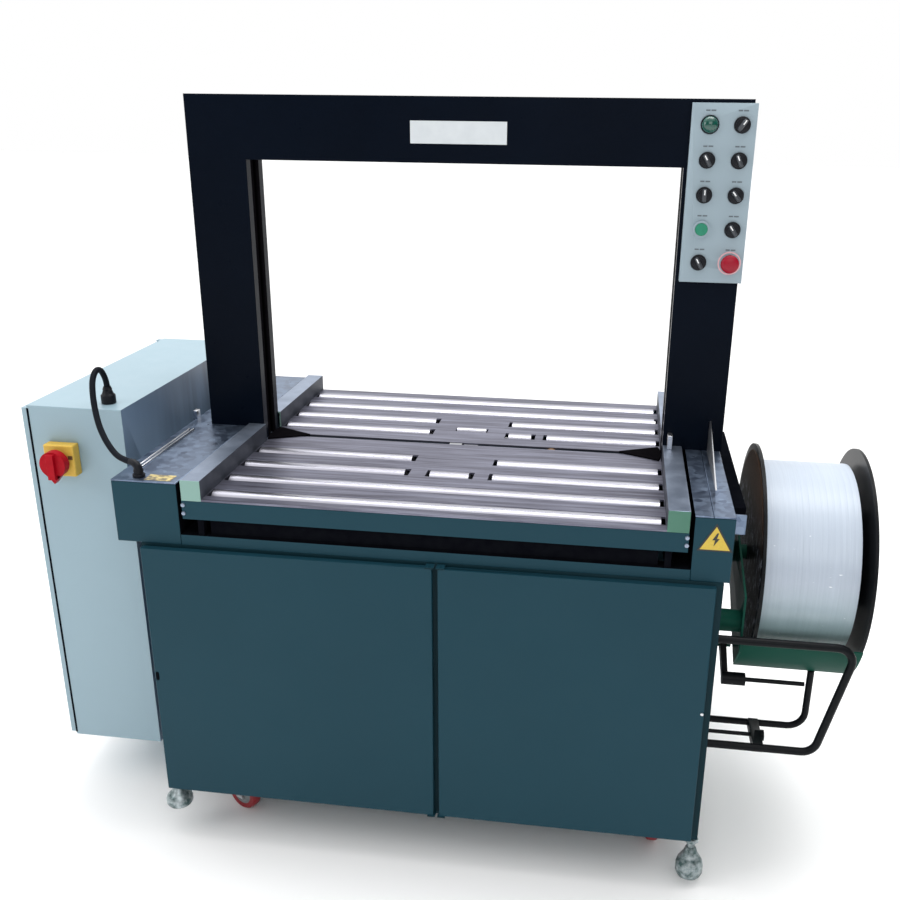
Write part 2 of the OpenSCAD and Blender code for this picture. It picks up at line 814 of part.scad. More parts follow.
module electrical_box() {
    lip = 14;
    w = ebox_wall;
    color(grey_blue) union() {
        difference() {
            block([ebox_x0, ebox_y, ebox_z], [ebox_x1, ebox_y + ebox_d, ebox_top]);
            block([ebox_x0 + w, ebox_y + w, ebox_z + w],
                [ebox_x1 - w, ebox_y + ebox_d - w, ebox_top - w]);
            block([ebox_x0 - 1, ebox_y + lip, ebox_z + lip],
                [ebox_x0 + w + 1, ebox_y + ebox_d - lip, ebox_top - lip]);
            rod_y([isolator_x, ebox_y - 1, isolator_z], 20, w + 2);
        }
        for (z = [ebox_z + 2.5, ebox_top - 2.5 - lug_t])
            difference() {
                block([edoor_x - 2, edoor_pin[1] - 8, z], [ebox_x0, edoor_pin[1] + 7, z + lug_t]);
                rod_z([edoor_pin[0], edoor_pin[1], z - 1], pin_d + 2 * run_fit, lug_t + 2);
            }
        // brackets to the cabinet's side
        for (z = [ebox_z + 130, cab_top - 100])
            difference() {
                block([ebox_x1, 300, z], [cab_x0, 640, z + 40]);
                block([ebox_x1 - 1, 306, z + 6], [cab_x0 + 1, 634, z + 41]);
            }
    }
}

module electrical_door() {
    z0 = ebox_z + 2.5 + lug_t + body_gap;
    z1 = ebox_top - 2.5 - lug_t - body_gap;
    y1 = ebox_y + ebox_d - 2;
    color(grey_blue) union() {
        difference() {
            block([edoor_x, ebox_y + 2, z0], [edoor_x + edoor_t, y1, z1]);
            block([edoor_x + door_sheet, ebox_y + 2 + door_sheet, z0 + door_sheet],
                [edoor_x + edoor_t + 1, y1 - door_sheet, z1 - door_sheet]);
        }
        for (z = [z0 - 3, z1 - door_sheet])
            rod_z([edoor_pin[0], edoor_pin[1], z], pin_d, 3 + door_sheet);
    }
}

module isolator_base() {
    at = [isolator_x, ebox_y, isolator_z];
    color([0.86, 0.72, 0.25]) difference() {
        block(at - [33, isolator_d, 34], at + [33, 0, 34]);
        rod_y(at - [0, isolator_d + 1, 0], 10 + 2 * run_fit, isolator_d + 2);
    }
}

module isolator_knob() {
    front = ebox_y - isolator_d - knob_gap;
    color([0.80, 0.05, 0.10]) union() {
        rod_y([isolator_x, front - 11, isolator_z], 38, 11);
        rod_y([isolator_x, front - 28, isolator_z], 56, 18);
        rod_y([isolator_x, front - 1, isolator_z], 10, isolator_d + 10);
        slab_y([[isolator_x - 17, isolator_z - 20], [isolator_x, isolator_z - 41],
            [isolator_x + 17, isolator_z - 20]], front - 28, front - 12);
        block([isolator_x - 8, front - 36, isolator_z - 30], [isolator_x + 8, front - 27, isolator_z + 24]);
    }
}

// ---- Lead ----

module lead_gland() {
    color(black) union() {
        rod_z(gland_at, 24, 6);
        rod_z(gland_at + [0, 0, 5], 18, gland_h - 5);
    }
}

function unit(v) = v / norm(v);
function tangent(p, i) = unit(p[min(i + 1, len(p) - 1)] - p[max(i - 1, 0)]);
// Catmull-Rom point between p[i] and p[i + 1]
function curve(p, i, t) =
    let (a = p[max(i - 1, 0)], b = p[i], c = p[i + 1], d = p[min(i + 2, len(p) - 1)])
    0.5 * (2 * b + (c - a) * t + (2 * a - 5 * b + 4 * c - d) * t * t
        + (3 * b - a - 3 * c + d) * t * t * t);

// Tube of n sides swept along a line. The end rings are square to first and last, and side is a
// direction across the line's start.
module tube(line, d, n, first, last, side) {
    end = len(line) - 1;
    function axis(i) = i == 0 ? first : i == end ? last : tangent(line, i);
    sides = [for (i = 0, u = unit(side); i <= end;
        i = i + 1, u = i > end ? u : unit(u - (u * axis(i)) * axis(i))) u];
    rings = [for (i = [0:end]) for (k = [0:n - 1])
        line[i] + d / 2 * (cos(k * 360 / n) * sides[i] + sin(k * 360 / n) * cross(axis(i), sides[i]))];
    walls = [for (i = [0:end - 1]) for (k = [0:n - 1])
        [i * n + k, (i + 1) * n + k, (i + 1) * n + (k + 1) % n, i * n + (k + 1) % n]];
    polyhedron(rings, concat(walls, [[for (k = [0:n - 1]) k]],
        [[for (k = [n - 1:-1:0]) end * n + k]]), convexity = 8);
}

// Points of a smooth line through p, with each span cut in the given number of parts
function smooth(p, cuts) = concat(
    [for (i = [0:len(p) - 2]) for (k = [0:cuts - 1]) curve(p, i, k / cuts)], [p[len(p) - 1]]);

module lead() {
    color(black) tube(smooth(LEAD, 2), lead_d, 10, [0, 0, 1], [0, 0, -1], [-1, -1, 0]);
}

module lead_plug() {
    color(black) translate(plug_at) rotate_extrude()
        polygon([[0, 0], [15, 0], [15, plug_h - 16], [10, plug_h - 9], [8, plug_h], [0, plug_h]]);
}

// ---- Dispenser ----

function spin(v, a) = [v[0] * cos(a) - v[1] * sin(a), v[0] * sin(a) + v[1] * cos(a)];
// Points of the arc of radius r that rounds off corner i of a path in X and Z
function bend_at(p, i, r) =
    let (a = unit(p[i] - p[i - 1]), b = unit(p[i + 1] - p[i]),
        turn = atan2(a[0] * b[1] - a[1] * b[0], a * b),
        start = p[i] - a * r * tan(abs(turn) / 2),
        mid = start + sign(turn) * r * [-a[1], a[0]])
    [for (k = [0:6]) mid + spin(start - mid, turn * k / 6)];

// Bar bent through points in X and Z, in the plane of the given y, with round corners
module bent_bar(p, y, d, bend) {
    flat = concat([p[0]], [for (i = [1:len(p) - 2]) each bend_at(p, i, bend)], [p[len(p) - 1]]);
    line = [for (q = flat) [q[0], y, q[1]]];
    tube(line, d, 16, tangent(line, 0), tangent(line, len(line) - 1), [0, 1, 0]);
}

module dispenser_frame() {
    x0 = cab_x1;
    clamp_x = x0 + 104;
    color(black) union() {
        bent_bar([[x0, rack_top], [x0 + 266, rack_top], [x0 + 211, rack_low], [x0, rack_low]],
            rack_y, rack_bar_d, 30);
        bent_bar([[x0, rack_low], [x0 + 206, rack_low],
            [x0 + 206, reel_z + (tray_r + tray_t) * sin(tray_a1)]], inner_y, inner_bar_d, 34);
        block([clamp_x - 10, rack_y, rack_low - 10], [clamp_x + 10, inner_y, rack_low + 10]);
        rod_x([clamp_x - 1, (rack_y + inner_y) / 2, rack_low], 22, 18);
        rod_x([x0, (rack_y + inner_y) / 2, rack_low], 8, clamp_x - x0);
    }
}

// Green bracket: side plate with the spindle, and the tray under the front of the reel
module dispenser_bracket() {
    x1 = bracket_x + bracket_t;
    tray_w = reel_x1 - x1 - 4;
    color([0.09, 0.35, 0.27]) union() {
        slab_x([[64, reel_z + 10], [60, reel_z - 106], [tray_y(222), tray_z(222) - 6],
            [reel_y - 20, reel_z - 80], [reel_y + 60, reel_z - 60], [reel_y + 60, reel_z + 50],
            [reel_y - 60, reel_z + 60]], bracket_x, x1);
        translate([x1 - 1, reel_y, reel_z]) rotate([90, 0, 90])
            rotate([0, 0, tray_a0])
            rotate_extrude_arc(tray_r, tray_t, tray_a1 - tray_a0, tray_w + 1);
        for (p = [[reel_y, reel_z], [100, reel_z - 60]])
            rod_x([cab_x1, p[0], p[1]], 44, bracket_x - cab_x1 + 1);
        rod_x([cab_x1, reel_y, reel_z], spindle_d, reel_x1 + 5 - cab_x1);
        rod_x([reel_x1 + 0.5, reel_y, reel_z], 50, 9);
        rod_x([reel_x1 + 9, reel_y, reel_z], spindle_d, 4);
        rod_x([cab_x1, arm_pin[0], arm_pin[1]], arm_pin_d, bracket_x - cab_x1 + 1);
    }
}

function tray_y(a) = reel_y + tray_r * cos(a);
function tray_z(a) = reel_z + tray_r * sin(a);

// Wall of radius r and thickness t over an angle, h long on the Z axis
module rotate_extrude_arc(r, t, angle, h) {
    rotate_extrude(angle = angle) translate([r, 0]) square([t, h]);
}

module tension_arm() {
    x0 = cab_x1 + 28;
    color(black) union() {
        difference() {
            union() {
                rod_x([x0, arm_pin[0], arm_pin[1]], 30, 12);
                slab_x([[arm_rod[0], arm_rod[1] - 9], [arm_pin[0] + 4, arm_pin[1] - 12],
                    [arm_pin[0] - 4, arm_pin[1] + 12], [arm_rod[0], arm_rod[1] + 9]], x0, x0 + 12);
            }
            rod_x([x0 - 1, arm_pin[0], arm_pin[1]], arm_pin_d + 2 * run_fit, 14);
        }
        rod_x([x0, arm_rod[0], arm_rod[1]], 26, 46);
        rod_x([x0 + 40, arm_rod[0], arm_rod[1]], 9, 122);
    }
}

module reel_flanges() {
    color(black) difference() {
        union() {
            rod_x([reel_x, reel_y, reel_z], reel_d, flange_t);
            rod_x([reel_x1 - flange_t, reel_y, reel_z], reel_d, flange_t);
            rod_x([reel_x, reel_y, reel_z], hub_d, reel_x1 - reel_x);
        }
        rod_x([reel_x - 1, reel_y, reel_z], spindle_d + 2 * run_fit, reel_x1 - reel_x + 2);
        // the hub is open on its far side
        difference() {
            rod_x([reel_x + flange_t, reel_y, reel_z], hub_d - 12, reel_w + flange_t + 1);
            rod_x([reel_x, reel_y, reel_z], spindle_d + 20, reel_x1 + 2 - reel_x);
        }
    }
}

module strap_coil() {
    x0 = reel_x + flange_t;
    color([0.80, 0.83, 0.86]) difference() {
        rod_x([x0, reel_y, reel_z], coil_d, coil_w);
        rod_x([x0 - 1, reel_y, reel_z], hub_d, coil_w + 2);
    }
}

// ---- Sealing head, under the strap gap ----

module sealing_head() {
    mid = strap_y;
    color([0.55, 0.56, 0.58]) union() {
        block([-bar_x - 12, mid - 75, head_z], [bar_x + 12, mid + 75, head_z + 8]);
        for (x = [-head_half, head_half - 8])
            difference() {
                block([x, mid - 50, head_z + 7], [x + 8, mid + 50, deck_z - 15.5]);
                rod_x([x - 1, mid, cam_z], 16 + 2 * run_fit, 10);
            }
        block([-head_half + 7, mid - 7, deck_z - 19.5], [head_half - 7, mid + 7, deck_z - 15]);
        block([-30, mid - 7, deck_z - 16], [-2, mid + 7, deck_z - 1]);
        block([2, mid - 7, deck_z - 16], [34, mid + 7, deck_z - 3]);
        block([-20, mid - 20, cab_top - 10], [20, mid + 20, head_z + 1]);
        rod_x([-60, mid, cab_top - 28], 90, 150);
    }
}

module cam_shaft() {
    color([0.72, 0.72, 0.74]) union() {
        rod_x([-head_half - 6, strap_y, cam_z], 16, 2 * head_half + 12);
        for (c = [[-40, 3, 0], [-12, -3, 0], [16, 0, 3], [44, 0, -2]])
            rod_x([c[0], strap_y + c[1], cam_z + c[2]], 26, 10);
    }
}

module feed_disc(z, r) {
    rod_y([feed_x, strap_y - 22, z], 10, 44);
    rod_y([feed_x, strap_y - strap_gap / 2 + 1, z], 2 * r, strap_gap - 2);
}

module feed_wheel() {
    color([0.75, 0.45, 0.10]) union() feed_disc(feed_z, feed_r);
}

module pinch_wheel() {
    color([0.75, 0.45, 0.10]) union() feed_disc(pinch_z, pinch_r);
}

// Everything is placed about the origin here
module placed() {
    translate(centre) children();
}

placed() cabinet_body();
placed() rear_panel();
placed() front_door_left();
placed() front_door_right();
placed() levelling_feet();
placed() caster_fork_left();
placed() caster_fork_right();
placed() caster_forks_rear();
placed() wheel_front_left();
placed() wheel_front_right();
placed() wheel_rear_left();
placed() wheel_rear_right();
placed() table_frame();
placed() side_rails();
placed() left_housing();
placed() right_housing();
placed() top_cover_plates();
placed() front_deck();
placed() rear_deck();
placed() roller(FRONT_DRUMS[0], front_row(1));  // front_roller_1
placed() roller(FRONT_DRUMS[1], front_row(2));  // front_roller_2
placed() roller(FRONT_DRUMS[2], front_row(3));  // front_roller_3
placed() roller(FRONT_DRUMS[3], front_row(4));  // front_roller_4
placed() roller(REAR_DRUMS[0], rear_row(1));  // rear_roller_1
placed() roller(REAR_DRUMS[1], rear_row(2));  // rear_roller_2
placed() roller(REAR_DRUMS[2], rear_row(3));  // rear_roller_3
placed() roller(REAR_DRUMS[3], rear_row(4));  // rear_roller_4
placed() rear_idler();
placed() arch_left_leg();
placed() arch_top_beam();
placed() arch_right_leg();
placed() arch_track();
placed() control_panel();
placed() selector(switch_at(1, 0));  // selector_1
placed() selector(switch_at(0, 1));  // selector_2
placed() selector(switch_at(1, 1));  // selector_3
placed() selector(switch_at(0, 2));  // selector_4
placed() selector(switch_at(1, 2));  // selector_5
placed() selector(switch_at(1, 3));  // selector_6
placed() selector(switch_at(0, 4));  // selector_7
placed() pilot_lamp();
placed() start_button();
placed() estop_button();
placed() electrical_box();
placed() electrical_door();
placed() isolator_base();
placed() isolator_knob();
placed() lead_gland();
placed() lead();
placed() lead_plug();
placed() dispenser_frame();
placed() dispenser_bracket();
placed() tension_arm();
placed() reel_flanges();
placed() strap_coil();
placed() sealing_head();
placed() cam_shaft();
placed() feed_wheel();
placed() pinch_wheel();
placed() cable_trunking();
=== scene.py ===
import json
import math

import bmesh
import bpy
import numpy as np
from mathutils import Matrix, Vector


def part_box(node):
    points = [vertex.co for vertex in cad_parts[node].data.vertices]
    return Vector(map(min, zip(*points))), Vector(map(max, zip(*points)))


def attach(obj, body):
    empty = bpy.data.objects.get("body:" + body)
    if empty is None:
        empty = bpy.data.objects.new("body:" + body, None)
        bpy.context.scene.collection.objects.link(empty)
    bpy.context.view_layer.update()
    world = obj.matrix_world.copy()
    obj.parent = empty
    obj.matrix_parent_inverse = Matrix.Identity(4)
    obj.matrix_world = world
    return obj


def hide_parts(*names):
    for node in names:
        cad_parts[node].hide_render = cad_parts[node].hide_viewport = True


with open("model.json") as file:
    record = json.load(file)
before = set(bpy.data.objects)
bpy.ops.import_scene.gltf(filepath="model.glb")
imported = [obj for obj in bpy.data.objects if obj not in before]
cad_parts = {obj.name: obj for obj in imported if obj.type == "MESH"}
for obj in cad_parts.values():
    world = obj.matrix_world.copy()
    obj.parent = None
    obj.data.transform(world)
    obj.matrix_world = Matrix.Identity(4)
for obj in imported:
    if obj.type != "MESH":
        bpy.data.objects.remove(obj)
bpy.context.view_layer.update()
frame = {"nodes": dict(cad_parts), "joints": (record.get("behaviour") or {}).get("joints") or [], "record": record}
body_of = {node: body for body, nodes in frame["record"]["behaviour"]["bodies"].items() for node in nodes}

# ---- Camera, floor and light ----
# A standing view from the operator's side, a little to the left of the machine's middle. The floor is a pale
# sheet under a wide soft ceiling light, with weaker ones at the left and in front, in a white room that is
# dimmer behind the camera and on the right.

yaw, pitch, roll = 0.1347, 0.35294, 0.01183
eye = (0.3518, -2.0631, 1.506)
look = Vector((-math.sin(yaw) * math.cos(pitch), math.cos(yaw) * math.cos(pitch), -math.sin(pitch)))
level = Vector((math.cos(yaw), math.sin(yaw), 0))
across = math.cos(roll) * level + math.sin(roll) * level.cross(look)
lens = bpy.data.cameras.new("camera")
lens.lens = 39.5
lens.shift_x = -0.0387
lens.shift_y = 0.0259
camera = bpy.data.objects.new("camera", lens)
bpy.context.scene.collection.objects.link(camera)
turned = Matrix((across, across.cross(look), -look)).transposed().to_4x4()
camera.matrix_world = Matrix.Translation(eye) @ turned
bpy.context.scene.camera = camera
bpy.context.scene.view_settings.view_transform = "Standard"


def add(tree, kind, links=None, **settings):
    """A node of a material, with its settings, and its inputs given as values or as other nodes' outputs."""
    node = tree.nodes.new("ShaderNode" + kind)
    for name, value in settings.items():
        setattr(node, name, value)
    for name, value in (links or {}).items():
        if isinstance(value, bpy.types.NodeSocket):
            tree.links.new(value, node.inputs[name])
        else:
            node.inputs[name].default_value = value
    return node


def finish(name, colour, rough, metal=0.0, coat=0.0, gloss=0.5, index=1.5):
    """A new material: its node tree, its surface shader and the Object coordinates of its pattern."""
    made = bpy.data.materials.new(name)
    made.use_nodes = True
    made.diffuse_color = (*colour, 1)
    surface = made.node_tree.nodes["Principled BSDF"]
    surface.inputs["Base Color"].default_value = (*colour, 1)
    surface.inputs["Roughness"].default_value = rough
    surface.inputs["Metallic"].default_value = metal
    surface.inputs["Coat Weight"].default_value = coat
    surface.inputs["Specular IOR Level"].default_value = gloss
    surface.inputs["IOR"].default_value = index
    where = add(made.node_tree, "TexCoord").outputs["Object"]
    return made, made.node_tree, surface, where


def cloud(tree, where, scale, detail=2.0, lumps=0.5):
    """Noise from 0 to 1, with the given number of lumps to a metre."""
    links = {"Vector": where, "Scale": scale, "Detail": detail, "Roughness": lumps}
    return add(tree, "TexNoise", links).outputs["Fac"]


def stretched(tree, where, scale):
    """Coordinates scaled by a number for each axis, so that a pattern on them runs along the smallest."""
    return add(tree, "Mapping", {"Vector": where, "Scale": scale}).outputs["Vector"]


def between(tree, value, low, high, start=0.0, end=1.0):
    """Maps a value from low..high onto start..end, and holds it there outside them."""
    links = {"Value": value, "From Min": low, "From Max": high, "To Min": start, "To Max": end}
    return add(tree, "MapRange", links).outputs["Result"]


def blend(tree, factor, first, second):
    """A colour from first to second as the factor goes from 0 to 1. Each is numbers or a node's output."""
    ends = [end if isinstance(end, bpy.types.NodeSocket) else (*end, 1) for end in (first, second)]
    return add(tree, "Mix", {0: factor, 6: ends[0], 7: ends[1]}, data_type="RGBA").outputs[2]


def tint(tree, surface, factor, dark, light):
    """Runs the surface's colour from dark to light with a factor from 0 to 1."""
    tree.links.new(blend(tree, factor, dark, light), surface.inputs["Base Color"])


def roughen(tree, surface, factor, low, high):
    """Runs the surface's roughness from low to high with a factor from 0 to 1."""
    tree.links.new(between(tree, factor, 0.0, 1.0, low, high), surface.inputs["Roughness"])


def relief(tree, surface, height, depth, strength):
    """Bumps the surface by a height of the given depth in metres."""
    bump = add(tree, "Bump", {"Height": height, "Distance": depth, "Strength": strength})
    tree.links.new(bump.outputs["Normal"], surface.inputs["Normal"])


def mottled(name, dark, light, rough, scale, detail=2.0, lumps=0.5, band=None, dulled=None, bump=None,
        **more):
    """A finish with one cloud in it. Its colour runs from dark to light over the cloud, or over a band of it;
    dulled is its roughness at the cloud's two ends, and bump the cloud's depth in metres and its strength."""
    middle = tuple((a + b) / 2 for a, b in zip(dark, light))
    made, tree, surface, where = finish(name, middle, rough, **more)
    shade = cloud(tree, where, scale, detail, lumps)
    tint(tree, surface, between(tree, shade, *band) if band else shade, dark, light)
    if dulled:
        roughen(tree, surface, shade, *dulled)
    if bump:
        relief(tree, surface, shade, *bump)
    return made


def put_on(obj, *made):
    """Gives an object its materials in place of the ones it has."""
    obj.data.materials.clear()
    for one in made:
        obj.data.materials.append(one)


floor_half = 30
floor_corners = [(x * floor_half, y * floor_half, 0) for x, y in ((-1, -1), (1, -1), (1, 1), (-1, 1))]
floor_mesh = bpy.data.meshes.new("floor")
floor_mesh.from_pydata(floor_corners, [], [(0, 1, 2, 3)])
floor = bpy.data.objects.new("floor", floor_mesh)
bpy.context.scene.collection.objects.link(floor)
put_on(floor, mottled("floor_paint", (0.98, 0.98, 0.98), (0.99, 0.99, 0.99), 0.95, 3.0, gloss=0.1))

room = bpy.data.worlds.new("room")
room.use_nodes = True
sky = room.node_tree
toward = add(sky, "SeparateXYZ", {"Vector": add(sky, "TexCoord").outputs["Generated"]}).outputs


def reckon(tree, operation, first, second):
    """One step of arithmetic on two values."""
    return add(tree, "Math", {0: first, 1: second}, operation=operation).outputs["Value"]


far_wall = between(sky, toward["Y"], -0.7, 0.5, 0.10, 1.0)
overhead = between(sky, toward["Z"], 0.35, 0.8, 0.0, 1.1)
right_wall = between(sky, toward["X"], 0.45, 0.9, 1.0, 0.12)
strength = reckon(sky, "MULTIPLY", reckon(sky, "ADD", far_wall, overhead), right_wall)
backdrop = reckon(sky, "MAXIMUM", strength, add(sky, "LightPath").outputs["Is Camera Ray"])
sky.links.new(backdrop, sky.nodes["Background"].inputs["Strength"])
sky.nodes["Background"].inputs["Color"].default_value = (1, 1, 1, 1)
bpy.context.scene.world = room


def lamp(name, place, aim, size, power):
    """A rectangular soft light at a place, turned towards a point."""
    light = bpy.data.lights.new(name, "AREA")
    light.shape = "RECTANGLE"
    light.size, light.size_y = size
    light.energy = power
    obj = bpy.data.objects.new(name, light)
    bpy.context.scene.collection.objects.link(obj)
    obj.location = place
    obj.rotation_euler = (Vector(aim) - Vector(place)).to_track_quat("-Z", "Y").to_euler()


lamp("ceiling_light", (0.2, 0.4, 3.8), (0, 0, 0.4), (3.4, 1.6), 70)
lamp("left_light", (-3.2, -2.0, 2.4), (0, 0, 0.8), (1.6, 1.6), 30)
lamp("front_light", (0.8, -4.0, 2.6), (0, 0, 0.6), (2.6, 1.6), 30)

# ---- Mains lead ----
# A short black rubber lead. It stands up out of its gland on the left housing, arches over in mid air on its
# own stiffness, and goes down into the plug that stands on the electrical box.

black_rubber = mottled("black_rubber", (0.003, 0.004, 0.007), (0.009, 0.011, 0.016), 0.55, 260.0, 4.0,
    bump=(0.0004, 0.5), gloss=0.06)
shift = Vector((0.018, -0.396, 0.0))  # from the cabinet's own origin to the machine's
route = [(-0.574, 0.024, 0.841), (-0.575, 0.024, 0.849), (-0.583, 0.026, 0.856), (-0.602, 0.032, 0.858),
    (-0.628, 0.045, 0.864), (-0.654, 0.062, 0.883), (-0.675, 0.080, 0.907), (-0.690, 0.098, 0.932),
    (-0.701, 0.115, 0.958), (-0.708, 0.131, 0.981), (-0.711, 0.146, 0.995), (-0.711, 0.160, 1.001),
    (-0.711, 0.174, 0.996), (-0.712, 0.186, 0.982), (-0.713, 0.193, 0.968), (-0.714, 0.196, 0.957)]
route = [Vector(point) + shift for point in route]
lead_d = 0.012


def smooth_path(points, cuts):
    """Points of a Catmull-Rom line through the given points, each span cut in the given number of parts. On
    the span from b to c, with a before it and d after it, a point is
    (2b + (c - a)t + (2a - 5b + 4c - d)t² + (3b - a - 3c + d)t³) / 2."""
    p = np.array([points[0], *points, points[-1]], float)
    t = np.linspace(0, 1, cuts, endpoint=False)[:, None]
    spans = []
    for a, b, c, d in zip(p, p[1:], p[2:], p[3:]):
        square = 2 * a - 5 * b + 4 * c - d
        cube = 3 * b - a - 3 * c + d
        spans.append(0.5 * (2 * b + (c - a) * t + square * t ** 2 + cube * t ** 3))
    return np.vstack([*spans, p[-1:]])


def mesh_object(name, points, faces, smooth=True):
    """A mesh object from points and faces, at the origin."""
    mesh = bpy.data.meshes.new(name)
    corners = [[int(corner) for corner in face] for face in faces]
    mesh.from_pydata(np.array(points, float).tolist(), [], corners)
    mesh.update()
    mesh.polygons.foreach_set("use_smooth", np.full(len(mesh.polygons), smooth))
    obj = bpy.data.objects.new(name, mesh)
    bpy.context.scene.collection.objects.link(obj)
    return obj


def outward(obj, merge=0.0):
    """Merges points of a closed mesh that are nearer than the given distance, and turns its faces out."""
    shape = bmesh.new()
    shape.from_mesh(obj.data)
    if merge:
        bmesh.ops.remove_doubles(shape, verts=shape.verts, dist=merge)
    bmesh.ops.recalc_face_normals(shape, faces=shape.faces)
    shape.to_mesh(obj.data)
    shape.free()


def grid_faces(rows, columns, closed):
    """Quads of a grid of rows by columns of points; a closed grid's last column meets its first."""
    r, c = np.meshgrid(np.arange(rows - 1), np.arange(columns if closed else columns - 1), indexing="ij")
    here, beside = r * columns + c, r * columns + (c + 1) % columns
    return np.stack([here, beside, beside + columns, here + columns], -1).reshape(-1, 4)


def tube(name, path, radius, sides=16, across_start=(0, 1, 0)):
    """A closed tube round a path. Ring i is path[i] + radius[i] * (u cos a + v sin a), where u and v are
    carried along the path without twisting; radius is one number or one for each point."""
    path = np.array(path, float)
    radii = np.broadcast_to(np.array(radius, float), len(path))[:, None, None]
    along = np.gradient(path, axis=0)
    along /= np.linalg.norm(along, axis=1)[:, None]
    u = np.zeros_like(path)
    u[0] = across_start
    for i in range(len(path)):
        if i:
            u[i] = u[i - 1]
        u[i] -= u[i] @ along[i] * along[i]
        u[i] /= np.linalg.norm(u[i])
    v = np.cross(along, u)
    a = np.linspace(0, 2 * np.pi, sides, endpoint=False)[:, None]
    rings = path[:, None] + radii * (u[:, None] * np.cos(a) + v[:, None] * np.sin(a))
    count = len(path) * sides
    ends = [range(sides)[::-1], range(count - sides, count)]
    return mesh_object(name, rings.reshape(-1, 3), [*grid_faces(len(path), sides, True), *ends])


def settle(obj, node_or_body, slot, *made, replaces=()):
    """Gives a finished piece its materials and its body, and hides the CAD nodes it stands for."""
    if made:
        put_on(obj, *made)
    if replaces:
        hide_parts(*replaces)
    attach(obj, body_of.get(node_or_body, node_or_body))
    return obj


lead_path = smooth_path(route, 5)
lead_side = (-0.7, -0.7, 0)
lead = tube("mains_lead", lead_path, lead_d / 2, 20, lead_side)
settle(lead, "lead", "cable_rubber", black_rubber, replaces=["lead"])


def lathe(name, profile, base, axis, sides=48, smooth=True):
    """A surface turned about a line through base along axis: a point (r, h) of the profile goes round a
    circle of radius r at height h. A radius of 0 makes a pole, which is merged to one point."""
    axis = Vector(axis).normalized()
    u = axis.orthogonal().normalized()
    v = axis.cross(u)
    a = np.linspace(0, 2 * np.pi, sides, endpoint=False)
    r, h = np.array(profile, float).T
    ring = np.cos(a)[:, None] * np.array(u) + np.sin(a)[:, None] * np.array(v)
    points = np.array(base, float) + r[:, None, None] * ring + h[:, None, None] * np.array(axis)
    obj = mesh_object(name, points.reshape(-1, 3), grid_faces(len(r), sides, True), smooth)
    outward(obj, 1e-6)
    if smooth:
        obj.data.set_sharp_from_angle(angle=math.radians(35))
    return obj


gland_h = 0.012
nut_profile = [(0, 0), (0.0118, 0), (0.012, 0.0006), (0.012, 0.0048), (0.0112, 0.006), (0.0088, 0.006),
    (0.0088, 0.0112), (0.008, gland_h), (0.0062, gland_h), (0, gland_h)]
gland = lathe("lead_gland_nut", nut_profile, route[0] - Vector((0, 0, gland_h)), (0, 0, 1))
black_moulding = mottled("black_moulding", (0.004, 0.005, 0.008), (0.011, 0.012, 0.016), 0.40, 420.0, 3.0,
    dulled=(0.30, 0.48), bump=(0.0003, 0.4), gloss=0.18)
settle(gland, "lead_gland", "black_plastic", black_moulding, replaces=["lead_gland"])

plug_h = 0.036
ribs = [(0.0098 - 0.0012 * (i % 2), 0.027 + i * 0.0011) for i in range(6)]
plug_profile = [(0, 0), (0.0135, 0), (0.015, 0.0015), (0.015, 0.017), (0.0145, 0.0185), (0.012, 0.0205),
    (0.0102, 0.0255), *ribs, (0.0082, 0.034), (0.0078, plug_h), (0, plug_h)]
plug = lathe("mains_plug", plug_profile, route[-1] - Vector((0, 0, plug_h)), (0, 0, 1))
settle(plug, "lead_plug", "black_plastic", black_moulding, replaces=["lead_plug"])

sleeve_path = lead_path[:14]
sleeve_ribs = 0.0012 * (np.arange(len(sleeve_path)) % 2)
sleeve_r = np.linspace(0.0100, 0.0066, len(sleeve_path)) - sleeve_ribs
sleeve = tube("lead_sleeve", sleeve_path, sleeve_r, 24, lead_side)
settle(sleeve, "lead", "black_plastic", black_moulding)

# ---- Cabinet ----
# Folded and welded sheet steel, powder coated dark blue-green with a fine orange peel. The doors are shallow
# pans with folded edges that hang on pins at the middle post; a cam lock and a pull slot are let into them.


def eased(node, width, outer=True, segments=2):
    """A copy of a CAD node's shape with its flat faces joined, its edges rounded to the given width and its
    curved faces shaded smooth. With outer, only the edges of the node's own box are rounded."""
    low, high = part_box(node)
    shape = bmesh.new()
    shape.from_mesh(frame["nodes"][node].data)
    bmesh.ops.remove_doubles(shape, verts=shape.verts, dist=1e-5)
    bmesh.ops.dissolve_limit(shape, angle_limit=math.radians(0.8), verts=shape.verts, edges=shape.edges)

    def on_box(face):
        centre = face.calc_center_median()
        return any(abs(face.normal[k]) > 0.999
            and min(abs(centre[k] - low[k]), abs(centre[k] - high[k])) < 1e-4 for k in range(3))

    if outer:
        chosen = shape.edges.layers.float.new("bevel_weight_edge")
        for edge in shape.edges:
            corner = len(edge.link_faces) == 2 and edge.calc_face_angle(0) > 0.7
            edge[chosen] = float(corner and all(on_box(face) for face in edge.link_faces))
    mesh = bpy.data.meshes.new("finished_" + node)
    shape.to_mesh(mesh)
    shape.free()
    obj = bpy.data.objects.new("finished_" + node, mesh)
    bpy.context.scene.collection.objects.link(obj)
    bevel = obj.modifiers.new("rounded edges", "BEVEL")
    bevel.width = width
    bevel.segments = segments
    bevel.limit_method = "WEIGHT" if outer else "ANGLE"
    bevel.angle_limit = math.radians(40)
    bevel.harden_normals = False
    mesh.polygons.foreach_set("use_smooth", np.ones(len(mesh.polygons), bool))
    mesh.set_sharp_from_angle(angle=math.radians(32))
    return obj


